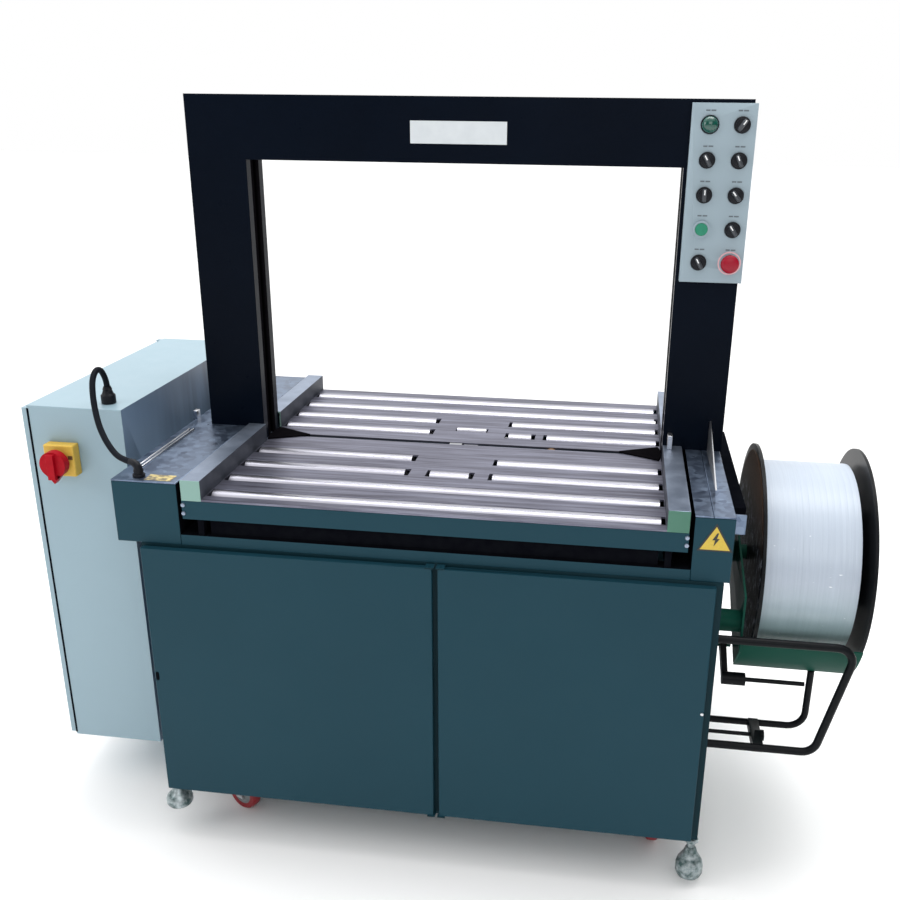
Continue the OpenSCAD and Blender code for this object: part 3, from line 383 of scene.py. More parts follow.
def enamel(name, colour, rough=0.42, peel=0.00012, spread_by=0.10, gloss=0.3, index=1.5):
    """Sprayed paint: a fine orange peel, a slow drift of shade over the panel and smudges in its gloss."""
    made, tree, surface, where = finish(name, colour, rough, gloss=gloss, index=index)
    drift = cloud(tree, where, 2.2, 5.0, 0.6)
    tint(tree, surface, drift, [c * (1 - spread_by) for c in colour], [c * (1 + spread_by) for c in colour])
    roughen(tree, surface, cloud(tree, where, 14.0, 6.0, 0.7), rough - 0.10, rough + 0.12)
    relief(tree, surface, cloud(tree, where, 520.0), peel, 0.6)
    return made


teal = enamel("blue_green_enamel", (0.0085, 0.044, 0.064), 0.44, gloss=0.14)
# A darker copy of the enamel: painted shade for the cabinet body's front strip and posts.
painted_shade_teal = enamel("painted_shade_enamel", (0.0045, 0.024, 0.033), 0.5, gloss=0.1)
shadow_black = mottled("shadow_black", (0.002, 0.002, 0.004), (0.006, 0.007, 0.009), 0.85, 60.0, 4.0,
    gloss=0.03, index=1.02)
# The faces that look into the dark recess under the deck are painted black, as painted shadow.
recess_side = {"left_housing": (1, 0, 0), "right_housing": (-1, 0, 0), "table_frame": (0, 0, 1)}
for node in ("cabinet_body", "front_door_left", "front_door_right", "left_housing", "right_housing",
        "table_frame"):
    sheet = eased(node, 0.0012 if node == "table_frame" else 0.0016)
    put_on(sheet, teal, shadow_black, painted_shade_teal)
    for face in sheet.data.polygons:
        # The cabinet body's front faces take the darker copy, as the painted shade of a shadow gap.
        if node == "cabinet_body" and face.normal.y < -0.9:
            face.material_index = 2
        if node in recess_side and face.normal.dot(Vector(recess_side[node])) > 0.9:
            face.material_index = 1
    settle(sheet, node, "teal_paint", replaces=[node])
put_on(frame["nodes"]["rear_panel"], teal)
bright_zinc = mottled("bright_zinc", (0.50, 0.51, 0.53), (0.74, 0.75, 0.77), 0.3, 180.0, 5.0,
    dulled=(0.22, 0.42), metal=1.0)


def front_stud(name, x, y, z, radius, height, made, slot, body):
    """A low domed stud on a face that looks to the front, turned from a profile."""
    profile = [(0, -0.0006), (radius, -0.0006), (radius, height * 0.45), (radius * 0.9, height * 0.85),
        (radius * 0.6, height), (0, height)]
    return settle(lathe(name, profile, (x, y, z), (0, -1, 0), 32), body, slot, made)


left_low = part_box("front_door_left")[0]
right_low, right_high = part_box("front_door_right")
lock_up, lock_in = 0.304, 0.004
lock_at = (right_high.x - lock_in, right_low.y, left_low.z + lock_up)
front_stud("door_lock", *lock_at, 0.0032, 0.0022, bright_zinc, "mechanism", "right_door")


def oval_plate(name, x, y, z, width, height, depth, made, slot, body):
    """A flat plate with half-round ends on a face that looks to the front. Its outline is a circle cut at its
    middle, with the halves moved apart in height; the front outline is a little smaller than the back one."""
    sides = 40
    a = np.linspace(0, 2 * np.pi, sides, endpoint=False)
    px = width / 2 * np.cos(a)
    pz = width / 2 * np.sin(a) + np.sign(np.sin(a)) * (height - width) / 2
    back = np.c_[x + px, np.full(sides, y), z + pz]
    front = np.c_[x + 0.9 * px, np.full(sides, y - depth), z + 0.96 * pz]
    ends = [range(sides), range(sides, 2 * sides)]
    obj = mesh_object(name, np.vstack([back, front]), [*grid_faces(2, sides, True), *ends], False)
    outward(obj)
    return settle(obj, body, slot, made)


# The pull slot is a dark oval plate in the painted shadow black.
pull_up, pull_in = 0.282, 0.006
oval_plate("door_pull_slot", left_low.x + pull_in, left_low.y, left_low.z + pull_up, 0.007, 0.020, 0.0012,
    shadow_black, "black_plastic", "left_door")

# ---- Levelling feet ----
# Cast pads with a cone up to the screw, and a zinc lock nut that is run up against the cabinet. The machine
# stands on the rear pads; the front ones are screwed up.

iron = mottled("foot_iron", (0.05, 0.095, 0.095), (0.50, 0.56, 0.58), 0.38, 55.0, 5.0, 0.6,
    band=(0.38, 0.66), dulled=(0.24, 0.50), bump=(0.0008, 0.5), metal=0.6)
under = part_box("cabinet_body")[0].z
feet_low, feet_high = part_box("levelling_feet")
pad_r = 0.028
neck_up = 0.068
thread_pitch = 0.0025
left_x, right_x = feet_low.x + pad_r, feet_high.x - pad_r
front_y, rear_y = feet_low.y + pad_r, feet_high.y - pad_r
feet = [(left_x, front_y, 0.064), (right_x, front_y, 0.020), (left_x, rear_y, 0.0), (right_x, rear_y, 0.0)]
pad_shape = [(0.0, 0.0), (0.70, 0.0), (0.90, 0.04), (1.0, 0.15), (1.0, 0.36), (0.93, 0.50), (0.75, 0.63),
    (0.52, 0.80), (0.40, 0.95), (0.33, 1.0), (0.0, 1.0)]
nut_shape = [(0.0082, 0.0105), (0.0130, 0.0105), (0.0140, 0.0097), (0.0140, 0.0013), (0.0130, 0.0003),
    (0.0082, 0.0003), (0.0082, 0.0105)]
for n, (x, y, raised) in enumerate(feet, 1):
    neck = min(raised + neck_up, under - 0.005)
    cone = [(pad_r * r, raised + (neck - raised) * h) for r, h in pad_shape]
    pad = lathe(f"foot_pad_{n}", cone, (x, y, 0), (0, 0, 1))
    settle(pad, "levelling_feet", "foot_iron", iron, replaces=["levelling_feet"] if n == 1 else ())
    turns = np.arange(neck - 0.002, under - 0.001, thread_pitch / 2)
    thread = [(0.0082 if i % 2 else 0.0074, z) for i, z in enumerate(turns)]
    stud = [(0, turns[0]), *thread, (0.0078, under), (0, under)]
    settle(lathe(f"foot_screw_{n}", stud, (x, y, 0), (0, 0, 1), 32), "levelling_feet", "foot_iron", iron)
    if neck < under - 0.012:
        nut = [(r, under - drop) for r, drop in nut_shape]
        hexagon = lathe(f"foot_nut_{n}", nut, (x, y, 0), (0, 0, 1), 6, False)
        settle(hexagon, "levelling_feet", "foot_iron", iron)

# ---- Casters ----
# Pressed zinc-plated forks, and wheels with a red polyurethane tyre bonded to a grey core. The core is
# turned with a bearing cup at each side of its web.

for node in ("caster_fork_left", "caster_fork_right", "caster_forks_rear"):
    put_on(frame["nodes"][node], bright_zinc)
red_tyre = mottled("red_tyre", (0.18, 0.006, 0.012), (0.38, 0.014, 0.022), 0.38, 90.0, 6.0,
    bump=(0.0004, 0.4))
grey_core = mottled("grey_core", (0.15, 0.17, 0.18), (0.27, 0.29, 0.30), 0.5, 120.0, 3.0)
spin_axis = {joint["child"]: joint["axis"] for joint in frame["joints"]}
bond_r = 0.0262
tyre_half = [(bond_r, 0.0), (bond_r, 0.0118), (0.030, 0.0125), (0.0365, 0.0125), (0.0392, 0.0095),
    (0.0399, 0.005), (0.040, 0.0)]
core_half = [(0.0051, 0.0136), (0.0105, 0.0136), (0.0112, 0.0126), (0.0112, 0.0102), (0.0135, 0.0092),
    (0.0225, 0.0092), (0.0245, 0.0110), (0.0263, 0.0112)]


def both_sides(half):
    """A closed profile from its half: down one side of the middle plane, and back up the other."""
    return [(r, -h) for r, h in half] + [(r, h) for r, h in half[::-1]] + [(half[0][0], -half[0][1])]


for node in ("wheel_front_left", "wheel_front_right", "wheel_rear_left", "wheel_rear_right"):
    low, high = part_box(node)
    axle = (low + high) / 2
    tyre = lathe(node + "_tyre", both_sides(tyre_half), axle, spin_axis[body_of[node]], 64)
    settle(tyre, node, "wheel_rubber", red_tyre, replaces=[node])
    hub = lathe(node + "_core", both_sides(core_half), axle, spin_axis[body_of[node]])
    settle(hub, node, "wheel_rubber", grey_core)

# ---- Roller table ----
# Steel deck plates between the drums, pale green rails with folded tops, and housings closed by galvanised
# covers. The drums are bright plated tube that shows fine rings from turning, with long soft reflections
# painted into its colour.

rail_green, tree, surface, where = finish("rail_enamel", (0.15, 0.28, 0.23), 0.46, gloss=0.2)
# The rails' front ends are painted lighter towards the left and darker towards the right, as painted light falling
# from the left.
along_x = add(tree, "SeparateXYZ", {"Vector": where}).outputs["X"]
tint(tree, surface, between(tree, along_x, 0.5, -0.5), (0.070, 0.18, 0.13), (0.24, 0.39, 0.35))
rail_grey = mottled("rail_galvanised", (0.11, 0.145, 0.21), (0.40, 0.46, 0.57), 0.40, 16.0, 8.0, 0.65,
    dulled=(0.30, 0.52), metal=0.85)
# A dark steel for the rails' sides: painted shade, darker than their lit tops.
rail_painted_shade = mottled("rail_side_painted_shade", (0.018, 0.022, 0.032), (0.085, 0.095, 0.12), 0.5, 24.0, 7.0,
    metal=0.4, gloss=0.2)
deck_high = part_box("front_deck")[1]
# The rails' lower part stands behind the apron in the dark, so they are cut level there and given the painted
# shadow black.
hidden_level = deck_high.z - 0.022
rails = eased("side_rails", 0.0014)
shape = bmesh.new()
shape.from_mesh(rails.data)
everything = [*shape.verts, *shape.edges, *shape.faces]
bmesh.ops.bisect_plane(shape, geom=everything, plane_co=(0, 0, hidden_level), plane_no=(0, 0, 1))
shape.to_mesh(rails.data)
shape.free()
put_on(rails, rail_grey, rail_green, shadow_black, rail_painted_shade)
for face in rails.data.polygons:
    if face.center.z < hidden_level:
        face.material_index = 2
    elif face.normal.y < -0.99:
        face.material_index = 1
    # Faces that look to the sides take the painted shade.
    elif abs(face.normal.x) > 0.7:
        face.material_index = 3
settle(rails, "side_rails", "rail_paint", replaces=["side_rails"])

deck_plate, tree, surface, where = finish("brushed_deck", (0.30, 0.30, 0.35), 0.42, metal=0.9)
brushing = cloud(tree, stretched(tree, where, (2.0, 160.0, 160.0)), 6.0, 6.0, 0.7)
stain = cloud(tree, stretched(tree, where, (1.4, 30.0, 30.0)), 3.0, 8.0, 0.7)
tint(tree, surface, between(tree, stain, 0.34, 0.66), (0.060, 0.058, 0.084), (0.22, 0.225, 0.29))
roughen(tree, surface, brushing, 0.32, 0.56)
relief(tree, surface, brushing, 0.00010, 0.6)
for node in ("front_deck", "rear_deck"):
    settle(eased(node, 0.0005, outer=False, segments=1), node, "deck_steel", deck_plate, replaces=[node])

drum_plate, tree, surface, where = finish("plated_drum", (0.70, 0.71, 0.76), 0.26, metal=1.0)
# Long bands round the drums run from dark to bright as painted reflections; the roughness follows the same bands.
painted_reflection_bands = cloud(tree, stretched(tree, where, (3.0, 70.0, 70.0)), 1.0, 7.0, 0.7)
tint(tree, surface, painted_reflection_bands, (0.15, 0.135, 0.16), (0.56, 0.57, 0.64))
roughen(tree, surface, painted_reflection_bands, 0.42, 0.18)
turning = cloud(tree, stretched(tree, where, (900.0, 6.0, 6.0)), 1.0, 3.0)
relief(tree, surface, turning, 0.00005, 0.5)
for node, obj in frame["nodes"].items():
    if "_roller_" in node or node == "rear_idler":
        put_on(obj, drum_plate)

zinc_sheet, tree, surface, where = finish("galvanised_sheet", (0.20, 0.27, 0.37), 0.40, metal=0.85)
crystal = add(tree, "TexVoronoi", {"Vector": where, "Scale": 75.0}).outputs["Color"]
spangle = add(tree, "RGBToBW", {"Color": crystal}).outputs["Val"]
tint(tree, surface, spangle, (0.080, 0.110, 0.175), (0.21, 0.27, 0.37))
roughen(tree, surface, spangle, 0.26, 0.44)
covers = eased("top_cover_plates", 0.0008, outer=False, segments=1)
put_on(covers, zinc_sheet, bright_zinc)
left_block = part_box("left_housing")
# The front end of the left cover is flat, and gives the height that its ridges and tabs stand up from.
cover_top = max(v.co.z for v in covers.data.vertices if v.co.y < left_block[0].y + 0.05 and v.co.x < 0)
for face in covers.data.polygons:
    if face.center.z > cover_top + 0.0004:
        face.material_index = 1
settle(covers, "top_cover_plates", "galvanised", replaces=["top_cover_plates"])
# The cable trunking in the recess is given the painted shadow black.
put_on(frame["nodes"]["cable_trunking"], shadow_black)

# Pan-head screws hold the apron to the rails at each end, one above the other.
rail_low, rail_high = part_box("side_rails")
screw_in = 0.003
left_screw_x, right_screw_x = rail_low.x + screw_in, rail_high.x - screw_in
screws = [(left_screw_x, 0.013), (left_screw_x, 0.030), (right_screw_x, 0.013), (right_screw_x, 0.028)]
for n, (x, drop) in enumerate(screws, 1):
    front_stud(f"apron_screw_{n}", x, rail_low.y, deck_high.z - drop, 0.0042, 0.0026, rail_grey, "mechanism",
        "machine")


def facing_sheet(name, outline, y, depth, made, slot, rim=None):
    """A thin sheet with the given outline in X and Z, its face to the front at y and its back at y + depth.
    With rim, an inner outline at that share of the size carries the first material, the rest the second."""
    outer = np.array(outline, float)
    n = len(outer)
    centre = outer.mean(axis=0)
    rings = [(outer, y + depth), (outer, y)]
    if rim:
        rings.append((centre + (outer - centre) * rim, y))
    points = np.vstack([np.c_[ring[:, 0], np.full(n, at), ring[:, 1]] for ring, at in rings])
    walls = grid_faces(len(rings), n, True)
    obj = mesh_object(name, points, [*walls, range(len(points) - n, len(points)), range(n)[::-1]], False)
    outward(obj)
    put_on(obj, *made)
    if rim:
        marks = np.ones(len(obj.data.polygons), int)
        marks[len(walls)] = 0
        obj.data.polygons.foreach_set("material_index", marks)
    return settle(obj, "machine", slot)


label_yellow = mottled("label_yellow", (0.50, 0.35, 0.03), (0.66, 0.48, 0.06), 0.45, 300.0)
label_black = mottled("label_black", (0.010, 0.010, 0.010), (0.018, 0.018, 0.018), 0.45, 300.0)
block_low, block_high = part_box("right_housing")
label_w, label_h = 0.064, 0.054
label_x, label_z = (block_low.x + block_high.x) / 2 + 0.003, block_low.z + 0.062
triangle = [(label_x - label_w / 2, label_z), (label_x + label_w / 2, label_z), (label_x, label_z + label_h)]
facing_sheet("hazard_label", triangle, block_low.y - 0.0006, 0.0009, [label_yellow, label_black],
    "yellow_plastic", 0.84)
flash = [(0.002, 0.036), (-0.006, 0.022), (-0.001, 0.022), (-0.003, 0.010), (0.007, 0.025), (0.002, 0.025),
    (0.005, 0.036)]
facing_sheet("hazard_mark", [(label_x + x, label_z + z) for x, z in flash], block_low.y - 0.0010, 0.0005,
    [label_black], "black_plastic")


def block(name, x, y, z):
    """A block between two values on each axis."""
    points = [(x[i], y[j], z[k]) for j in (0, 1) for i, k in ((0, 0), (1, 0), (1, 1), (0, 1))]
    obj = mesh_object(name, points, [range(4), range(4, 8), *grid_faces(2, 4, True)], False)
    outward(obj)
    return obj


faded_yellow = mottled("faded_label", (0.14, 0.12, 0.08), (0.56, 0.45, 0.18), 0.5, 90.0, 5.0,
    band=(0.42, 0.60))
tag_x = (left_block[1].x - 0.068, left_block[1].x - 0.014)
tag_y = (left_block[0].y + 0.008, left_block[0].y + 0.038)
note = block("caution_label", tag_x, tag_y, (cover_top, cover_top + 0.0005))
settle(note, "machine", "yellow_plastic", faded_yellow)

# ---- Strap arch ----
# Welded box section in gloss black-blue enamel, with the strap track let into its inner faces. A blank pale
# plate is fixed to the front of the beam.

arch_black = enamel("arch_enamel", (0.0020, 0.0042, 0.0095), 0.30, peel=0.00025, spread_by=0.5, gloss=0.5,
    index=1.12)
for node in ("arch_left_leg", "arch_top_beam", "arch_right_leg"):
    settle(eased(node, 0.0012), node, "navy_paint", arch_black, replaces=[node])
track_black = mottled("track_black", (0.002, 0.002, 0.003), (0.007, 0.006, 0.007), 0.75, 45.0, 6.0,
    gloss=0.03, index=1.05)
put_on(frame["nodes"]["arch_track"], track_black)

plate_white = mottled("plate_white", (0.56, 0.60, 0.63), (0.68, 0.72, 0.74), 0.42, 40.0)
plate_x = shift.x - 0.0035
plate_left, plate_right = plate_x - 0.097, plate_x + 0.097
plate_foot, plate_head = 1.441, 1.484
plate = [(plate_left, plate_foot), (plate_right, plate_foot), (plate_right, plate_head),
    (plate_left, plate_head)]
beam_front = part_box("arch_top_beam")[0].y
facing_sheet("name_plate", plate, beam_front - 0.0012, 0.0012, [plate_white], "panel_face")

# ---- Control panel ----
# A shallow painted pan that carries two columns of 22 mm operators: a pilot lamp, seven selectors, a flush
# start button and a mushroom stop. Each has a black moulded bezel, and a small plate above it.

panel_paint = enamel("panel_enamel", (0.30, 0.38, 0.43), 0.38, spread_by=0.06)
settle(eased("control_panel", 0.0012), "control_panel", "panel_face", panel_paint, replaces=["control_panel"])
guard_ring = 0.007  # the start button's guard ring stands this proud of the pan's face
face_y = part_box("control_panel")[0].y + guard_ring
front = (0, -1, 0)


def middle_of(node):
    """The X and Z of the middle of a node."""
    low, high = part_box(node)
    return (low.x + high.x) / 2, (low.z + high.z) / 2


def front_box(name, centre, size, y_back, y_front, slot, made, ease):
    """A small block with rounded edges, its face to the front, with its centre and size in X and Z."""
    x, z = [(middle - length / 2, middle + length / 2) for middle, length in zip(centre, size)]
    obj = block(name, x, (y_back, y_front), z)
    shape = bmesh.new()
    shape.from_mesh(obj.data)
    bmesh.ops.bevel(shape, geom=shape.edges[:], offset=ease, segments=2, affect="EDGES", profile=0.5)
    shape.to_mesh(obj.data)
    shape.free()
    return settle(obj, "machine", slot, made)


white_mark = mottled("white_mark", (0.80, 0.81, 0.81), (0.88, 0.89, 0.89), 0.5, 200.0)
# A lighter grey than the black skirt: a painted highlight on the selector grips.
painted_grip_highlight = mottled("painted_grip_highlight", (0.034, 0.038, 0.045), (0.060, 0.066, 0.076), 0.30, 300.0)
legend_grey = mottled("legend_grey", (0.08, 0.105, 0.125), (0.14, 0.17, 0.19), 0.5, 300.0)
skirt_profile = [(0, 0.0005), (0.0150, 0.0005), (0.0155, 0.0011), (0.0155, 0.0040), (0.0147, 0.0051),
    (0.0120, 0.0055), (0.0118, 0.0090), (0.0105, 0.0096), (0, 0.0096)]
# The grip's outline across, as width and height, and its narrowing along: a place and the share of the width.
grip_across = [(-0.0036, 0.0090), (-0.0042, 0.0105), (-0.0036, 0.0180), (-0.0024, 0.0194), (0.0024, 0.0194),
    (0.0036, 0.0180), (0.0042, 0.0105), (0.0036, 0.0090)]
grip_along = [(-0.0118, 0.55), (-0.0108, 0.9), (-0.006, 1.0), (0.006, 1.0), (0.0108, 0.9), (0.0118, 0.55)]
pointing = {1: 35, 2: -30, 3: -25, 4: 0, 5: -40, 6: -35, 7: -30}  # degrees from upright
for n, turn in pointing.items():
    node = f"selector_{n}"
    x, z = middle_of(node)
    dial = Matrix.Translation((x, face_y, z)) @ Matrix.Rotation(math.radians(turn), 4, "Y")
    skirt = lathe(node + "_skirt", skirt_profile, (x, face_y, z), front)
    settle(skirt, node, "black_plastic", black_moulding, replaces=[node])
    rings = [(wide * share, -high, along) for along, share in grip_along for wide, high in grip_across]
    sides = len(grip_across)
    ends = [range(sides)[::-1], range(len(rings) - sides, len(rings))]
    grip = mesh_object(node + "_grip", rings, [*grid_faces(len(grip_along), sides, True), *ends])
    grip.data.transform(dial)
    outward(grip)
    grip.data.set_sharp_from_angle(angle=math.radians(50))
    settle(grip, node, "black_plastic", painted_grip_highlight)
    pointer = block(node + "_pointer", (-0.0011, 0.0011), (-0.01955, -0.0192), (0.001, 0.0105))
    pointer.data.transform(dial)
    settle(pointer, node, "panel_face", white_mark)

# Small engraved plates above the operators: short dark bars stand for their words.
operators = [*(f"selector_{n}" for n in pointing), "pilot_lamp", "start_button", "estop_button"]
legend_up = 0.0255
legend_bars = [(-0.0052, 0.008), (0.0052, 0.009)]
for n, node in enumerate(operators, 1):
    x, z = middle_of(node)
    for k, (aside, wide) in enumerate(legend_bars, 1):
        front_box(f"legend_{n}_{k}", (x + aside, z + legend_up), (wide, 0.0028), face_y + 0.0002,
            face_y - 0.0003, "black_plastic", legend_grey, 0.0001)

green_lens, tree, surface, where = finish("green_lens", (0.004, 0.10, 0.07), 0.14, coat=0.6)
facet = add(tree, "TexVoronoi", {"Vector": where, "Scale": 420.0}).outputs["Distance"]
tint(tree, surface, facet, (0.002, 0.035, 0.028), (0.006, 0.10, 0.07))
relief(tree, surface, facet, 0.0004, 0.3)
x, z = middle_of("pilot_lamp")
dome = [(0.0152 * math.cos(t), 0.0045 + 0.0105 * math.sin(t)) for t in np.linspace(0, math.pi / 2, 12)]
lens_cap = lathe("pilot_lamp_lens", [(0, 0.0038), (0.0154, 0.0038), *dome], (x, face_y, z), front)
settle(lens_cap, "pilot_lamp", "green_lens", green_lens, replaces=["pilot_lamp"])
collar_profile = [(0.0120, 0.0), (0.0174, 0.0), (0.0174, 0.0028), (0.0167, 0.0040), (0.0156, 0.0043),
    (0.0150, 0.0040), (0.0120, 0.0)]
collar = lathe("pilot_lamp_collar", collar_profile, (x, face_y, z), front)
settle(collar, "pilot_lamp", "black_plastic", black_moulding)

green_cap = mottled("green_cap", (0.003, 0.17, 0.095), (0.008, 0.25, 0.14), 0.34, 260.0)
put_on(frame["nodes"]["start_button"], green_cap)
x, z = middle_of("start_button")
low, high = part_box("start_button")
cap_r = (high.x - low.x) / 2 + 0.0003
collar_profile = [(cap_r, 0.0), (cap_r + 0.003, 0.0), (cap_r + 0.003, 0.0016), (cap_r + 0.002, 0.0026),
    (cap_r, 0.0026), (cap_r, 0.0)]
collar = lathe("start_collar", collar_profile, (x, face_y, z), front)
settle(collar, "machine", "green_push", green_cap)

red_cap = mottled("red_cap", (0.24, 0.002, 0.014), (0.36, 0.005, 0.024), 0.34, 240.0, gloss=0.3)
x, z = middle_of("estop_button")
mushroom_profile = [(0, 0.0088), (0.0075, 0.0088), (0.0080, 0.0094), (0.0135, 0.0100), (0.0172, 0.0118),
    (0.0180, 0.0140), (0.0178, 0.0170), (0.0162, 0.0192), (0.0120, 0.0210), (0.0060, 0.0220), (0, 0.0223)]
mushroom = lathe("stop_mushroom", mushroom_profile, (x, face_y, z), front, 64)
settle(mushroom, "estop_button", "red_plastic", red_cap, replaces=["estop_button"])
stem_r = 0.0070
stem_profile = [(0, -0.018), (stem_r, -0.018), (stem_r, 0.0092), (0, 0.0092)]
stem = lathe("stop_stem", stem_profile, (x, face_y, z), front)
settle(stem, "estop_button", "red_plastic", red_cap)
pink_ring = mottled("stop_ring", (0.66, 0.36, 0.39), (0.78, 0.48, 0.51), 0.4, 240.0)
ring_profile = [(0.0146, 0.0), (0.0226, 0.0), (0.0226, 0.0016), (0.0214, 0.0024), (0.0146, 0.0024),
    (0.0146, 0.0)]
settle(lathe("stop_collar", ring_profile, (x, face_y, z), front, 64), "machine", "panel_face", pink_ring)

# ---- Electrical box ----
# Light grey-blue enamelled case with its door on the left, and a rotary isolator: a red handle on a yellow
# base. The side that looks to the table is drawn darker and bluer as painted shade, with a painted shadow and
# streaky reflection of the arch leg that darken it towards the rear.

box_paint = enamel("box_enamel", (0.27, 0.38, 0.44), 0.36, spread_by=0.05, gloss=0.45)
# A darker, bluer copy of the enamel for the side towards the table, as painted shade.
box_shade_side, tree, surface, where = finish("box_side_painted_shade", (0.16, 0.23, 0.31), 0.34)
along_y = add(tree, "SeparateXYZ", {"Vector": where}).outputs["Y"]
# Streaks that darken towards the rear paint the shadow and reflection of the arch leg on that side.
painted_reflection_streaks = cloud(tree, stretched(tree, where, (1.0, 9.0, 1.2)), 2.5, 5.0)
painted_arch_shadow = reckon(tree, "MULTIPLY", between(tree, along_y, -0.27, 0.12), painted_reflection_streaks)
tint(tree, surface, painted_arch_shadow, (0.17, 0.25, 0.36), (0.018, 0.022, 0.032))
for node in ("electrical_box", "electrical_door"):
    case = eased(node, 0.0014)
    put_on(case, box_paint, box_shade_side)
    for face in case.data.polygons:
        # The case's side towards the table takes the painted-shade copy.
        if node == "electrical_box" and face.normal.x > 0.9:
            face.material_index = 1
    settle(case, node, "box_paint", replaces=[node])

case_low, case_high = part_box("electrical_box")
# A dark strip in the gap beside the door is painted shadow.
gap_shadow_at = (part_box("electrical_door")[1].x + 0.0030, (case_low.z + case_high.z) / 2)
gap_shadow_size = (0.0044, case_high.z - case_low.z - 0.012)
front_box("door_gap_shadow", gap_shadow_at, gap_shadow_size, case_low.y + 0.001, case_low.y - 0.0007, "black_plastic",
    shadow_black, 0.0003)
yellow_base = mottled("yellow_moulding", (0.60, 0.39, 0.06), (0.72, 0.48, 0.09), 0.42, 200.0, gloss=0.25)
isolator_base = eased("isolator_base", 0.003, segments=3)
settle(isolator_base, "isolator_base", "yellow_plastic", yellow_base, replaces=["isolator_base"])
slot_brown = mottled("lock_slot_brown", (0.08, 0.035, 0.012), (0.16, 0.07, 0.03), 0.6, 200.0)
plate_low, plate_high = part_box("isolator_base")
screw_at = (plate_high.x - 0.008, (plate_low.z + plate_high.z) / 2 + 0.008)
front_box("isolator_screw", screw_at, (0.010, 0.008), plate_low.y + 0.0005, plate_low.y - 0.0006,
    "black_plastic", slot_brown, 0.0002)
knob_red = mottled("knob_red", (0.28, 0.001, 0.007), (0.42, 0.002, 0.012), 0.42, 90.0, 3.0, gloss=0.12)
knob = eased("isolator_knob", 0.0015, outer=False)
settle(knob, "isolator_knob", "red_plastic", knob_red, replaces=["isolator_knob"])

# ---- Strap dispenser ----
# Bent black bars carry the reel's guard, a green cheek plate carries its spindle, and the coil of white strap
# is wound in layers between two flanges; it carries painted glints, and a painted green cast towards its
# bottom. The near flange has a board face, partly under torn black film that carries painted grey glints.

gloss_black = mottled("gloss_black_enamel", (0.002, 0.003, 0.004), (0.010, 0.011, 0.013), 0.32, 130.0, 5.0,
    bump=(0.0003, 0.3), gloss=0.09)
rack = eased("dispenser_frame", 0.0006, outer=False, segments=1)
settle(rack, "dispenser_frame", "black_rod", gloss_black, replaces=["dispenser_frame"])
put_on(frame["nodes"]["tension_arm"], gloss_black)
bracket_green = enamel("bracket_enamel", (0.005, 0.058, 0.040), 0.42, gloss=0.06)
bracket = eased("dispenser_bracket", 0.0008, outer=False, segments=1)
settle(bracket, "dispenser_bracket", "bracket_paint", bracket_green, replaces=["dispenser_bracket"])

board, tree, surface, where = finish("brown_board", (0.060, 0.036, 0.026), 0.6, gloss=0.06)
fibre = cloud(tree, where, 95.0, 8.0, 0.7)
brown = blend(tree, fibre, (0.018, 0.011, 0.008), (0.085, 0.048, 0.030))
# Below its upper part the board is under black film, with grey flecks on the film as painted reflections.
painted_film_glints = cloud(tree, stretched(tree, where, (1.0, 2.2, 1.0)), 34.0, 6.0, 0.75)
film = blend(tree, between(tree, painted_film_glints, 0.53, 0.66), (0.003, 0.003, 0.005), (0.26, 0.28, 0.34))
height = add(tree, "SeparateXYZ", {"Vector": where}).outputs["Z"]
tint(tree, surface, between(tree, height, 0.78, 0.70), brown, film)
relief(tree, surface, fibre, 0.0006, 0.4)
put_on(frame["nodes"]["reel_flanges"], gloss_black)
reel_low, reel_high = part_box("reel_flanges")
reel_y, reel_z = (reel_low.y + reel_high.y) / 2, (reel_low.z + reel_high.z) / 2
bore_r = 0.0165
board_profile = [(bore_r, 0.0), (bore_r, 0.0012), (0.2160, 0.0012), (0.2175, 0.0), (bore_r, 0.0)]
board_face = lathe("flange_board", board_profile, (reel_low.x, reel_y, reel_z), (-1, 0, 0), 96)
settle(board_face, "reel_flanges", "reel_board", board)

strap, tree, surface, where = finish("strap_plastic", (0.72, 0.78, 0.83), 0.30)
surface.inputs["Subsurface Weight"].default_value = 0.06
surface.inputs["Subsurface Radius"].default_value = (0.01, 0.01, 0.012)
lap_lines = cloud(tree, stretched(tree, where, (420.0, 5.0, 5.0)), 1.0, 3.0)
laps = blend(tree, lap_lines, (0.40, 0.46, 0.54), (0.50, 0.565, 0.655))
height = add(tree, "SeparateXYZ", {"Vector": where}).outputs["Z"]
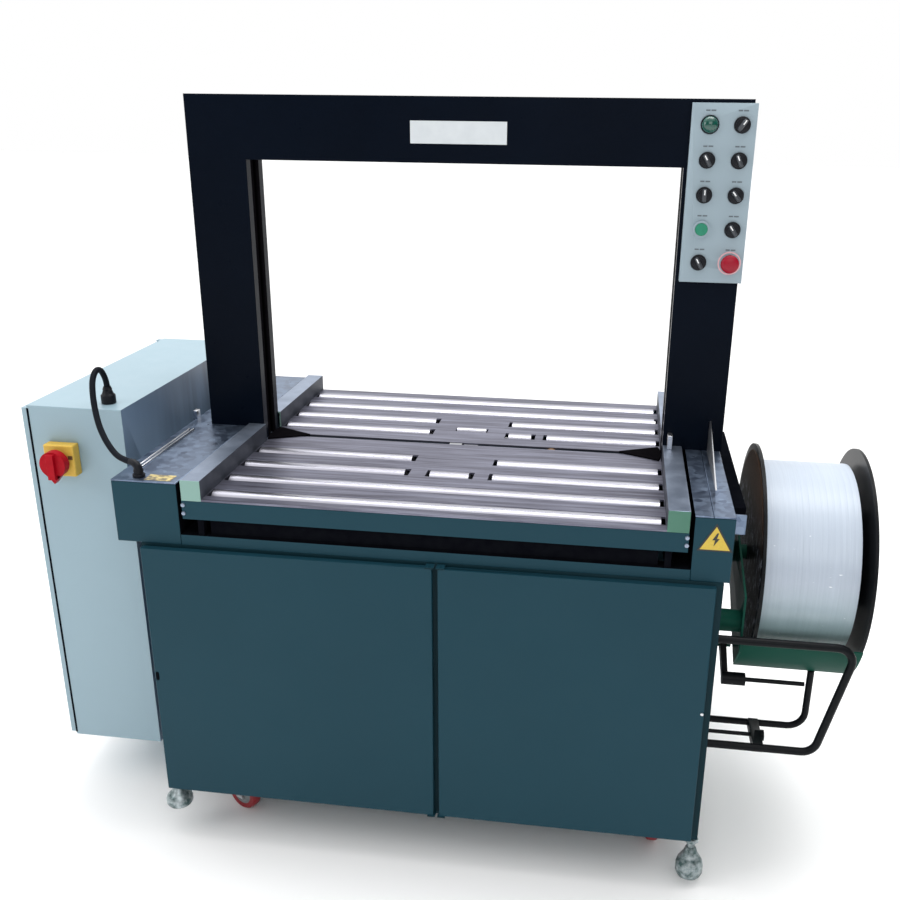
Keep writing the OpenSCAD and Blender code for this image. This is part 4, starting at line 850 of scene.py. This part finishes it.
# Towards the bottom the coil turns green: painted light thrown back from the green bracket and tray.
shaded = blend(tree, between(tree, height, 0.66, 0.40), laps, (0.15, 0.36, 0.31))
# Rare white flecks are painted glints.
painted_glints = cloud(tree, stretched(tree, where, (0.6, 1.0, 1.6)), 95.0, 3.0)
tint(tree, surface, between(tree, painted_glints, 0.725, 0.80), shaded, (0.92, 0.95, 0.98))
relief(tree, surface, lap_lines, 0.0004, 0.25)
coil_low, coil_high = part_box("strap_coil")
width = coil_high.x - coil_low.x
outer_r = (coil_high.z - coil_low.z) / 2
inner_r = 0.1002
end_gap = 0.0002
laps_across = 15
lap_shape = [(0.02, 0.0002), (0.08, 0.0001), (0.5, 0.0), (0.92, 0.0001), (0.98, 0.0002)]
rng = np.random.default_rng(7)
edge = []
for lap in range(laps_across):
    top = outer_r - 0.0003 - 0.0003 * rng.random()
    edge += [(top - dip, width * (lap + share) / laps_across) for share, dip in lap_shape]
shoulder_r = outer_r - 0.004
coil_profile = [(inner_r, end_gap), (shoulder_r, end_gap), *edge, (shoulder_r, width - end_gap),
    (inner_r, width - end_gap), (inner_r, end_gap)]
coil = lathe("strap_winding", coil_profile, (coil_low.x, reel_y, reel_z), (1, 0, 0), 160)
settle(coil, "strap_coil", "strap_plastic", strap, replaces=["strap_coil"])

# ---- Sealing head and feed ----
# Machined steel under the strap gap, with polyurethane feed wheels. Only glimpses of them show between the
# deck plates, so they keep the frame's own shapes and get their finishes here.

machined, tree, surface, where = finish("machined_steel", (0.36, 0.37, 0.39), 0.34, metal=1.0)
tool_lines = cloud(tree, stretched(tree, where, (8.0, 300.0, 8.0)), 2.0, 4.0)
tint(tree, surface, tool_lines, (0.28, 0.29, 0.31), (0.46, 0.47, 0.49))
roughen(tree, surface, tool_lines, 0.26, 0.44)
for node in ("sealing_head", "cam_shaft"):
    put_on(frame["nodes"][node], machined)
amber = mottled("feed_urethane", (0.10, 0.045, 0.010), (0.16, 0.075, 0.018), 0.4, 150.0)
for node in ("feed_wheel", "pinch_wheel"):
    put_on(frame["nodes"][node], amber)
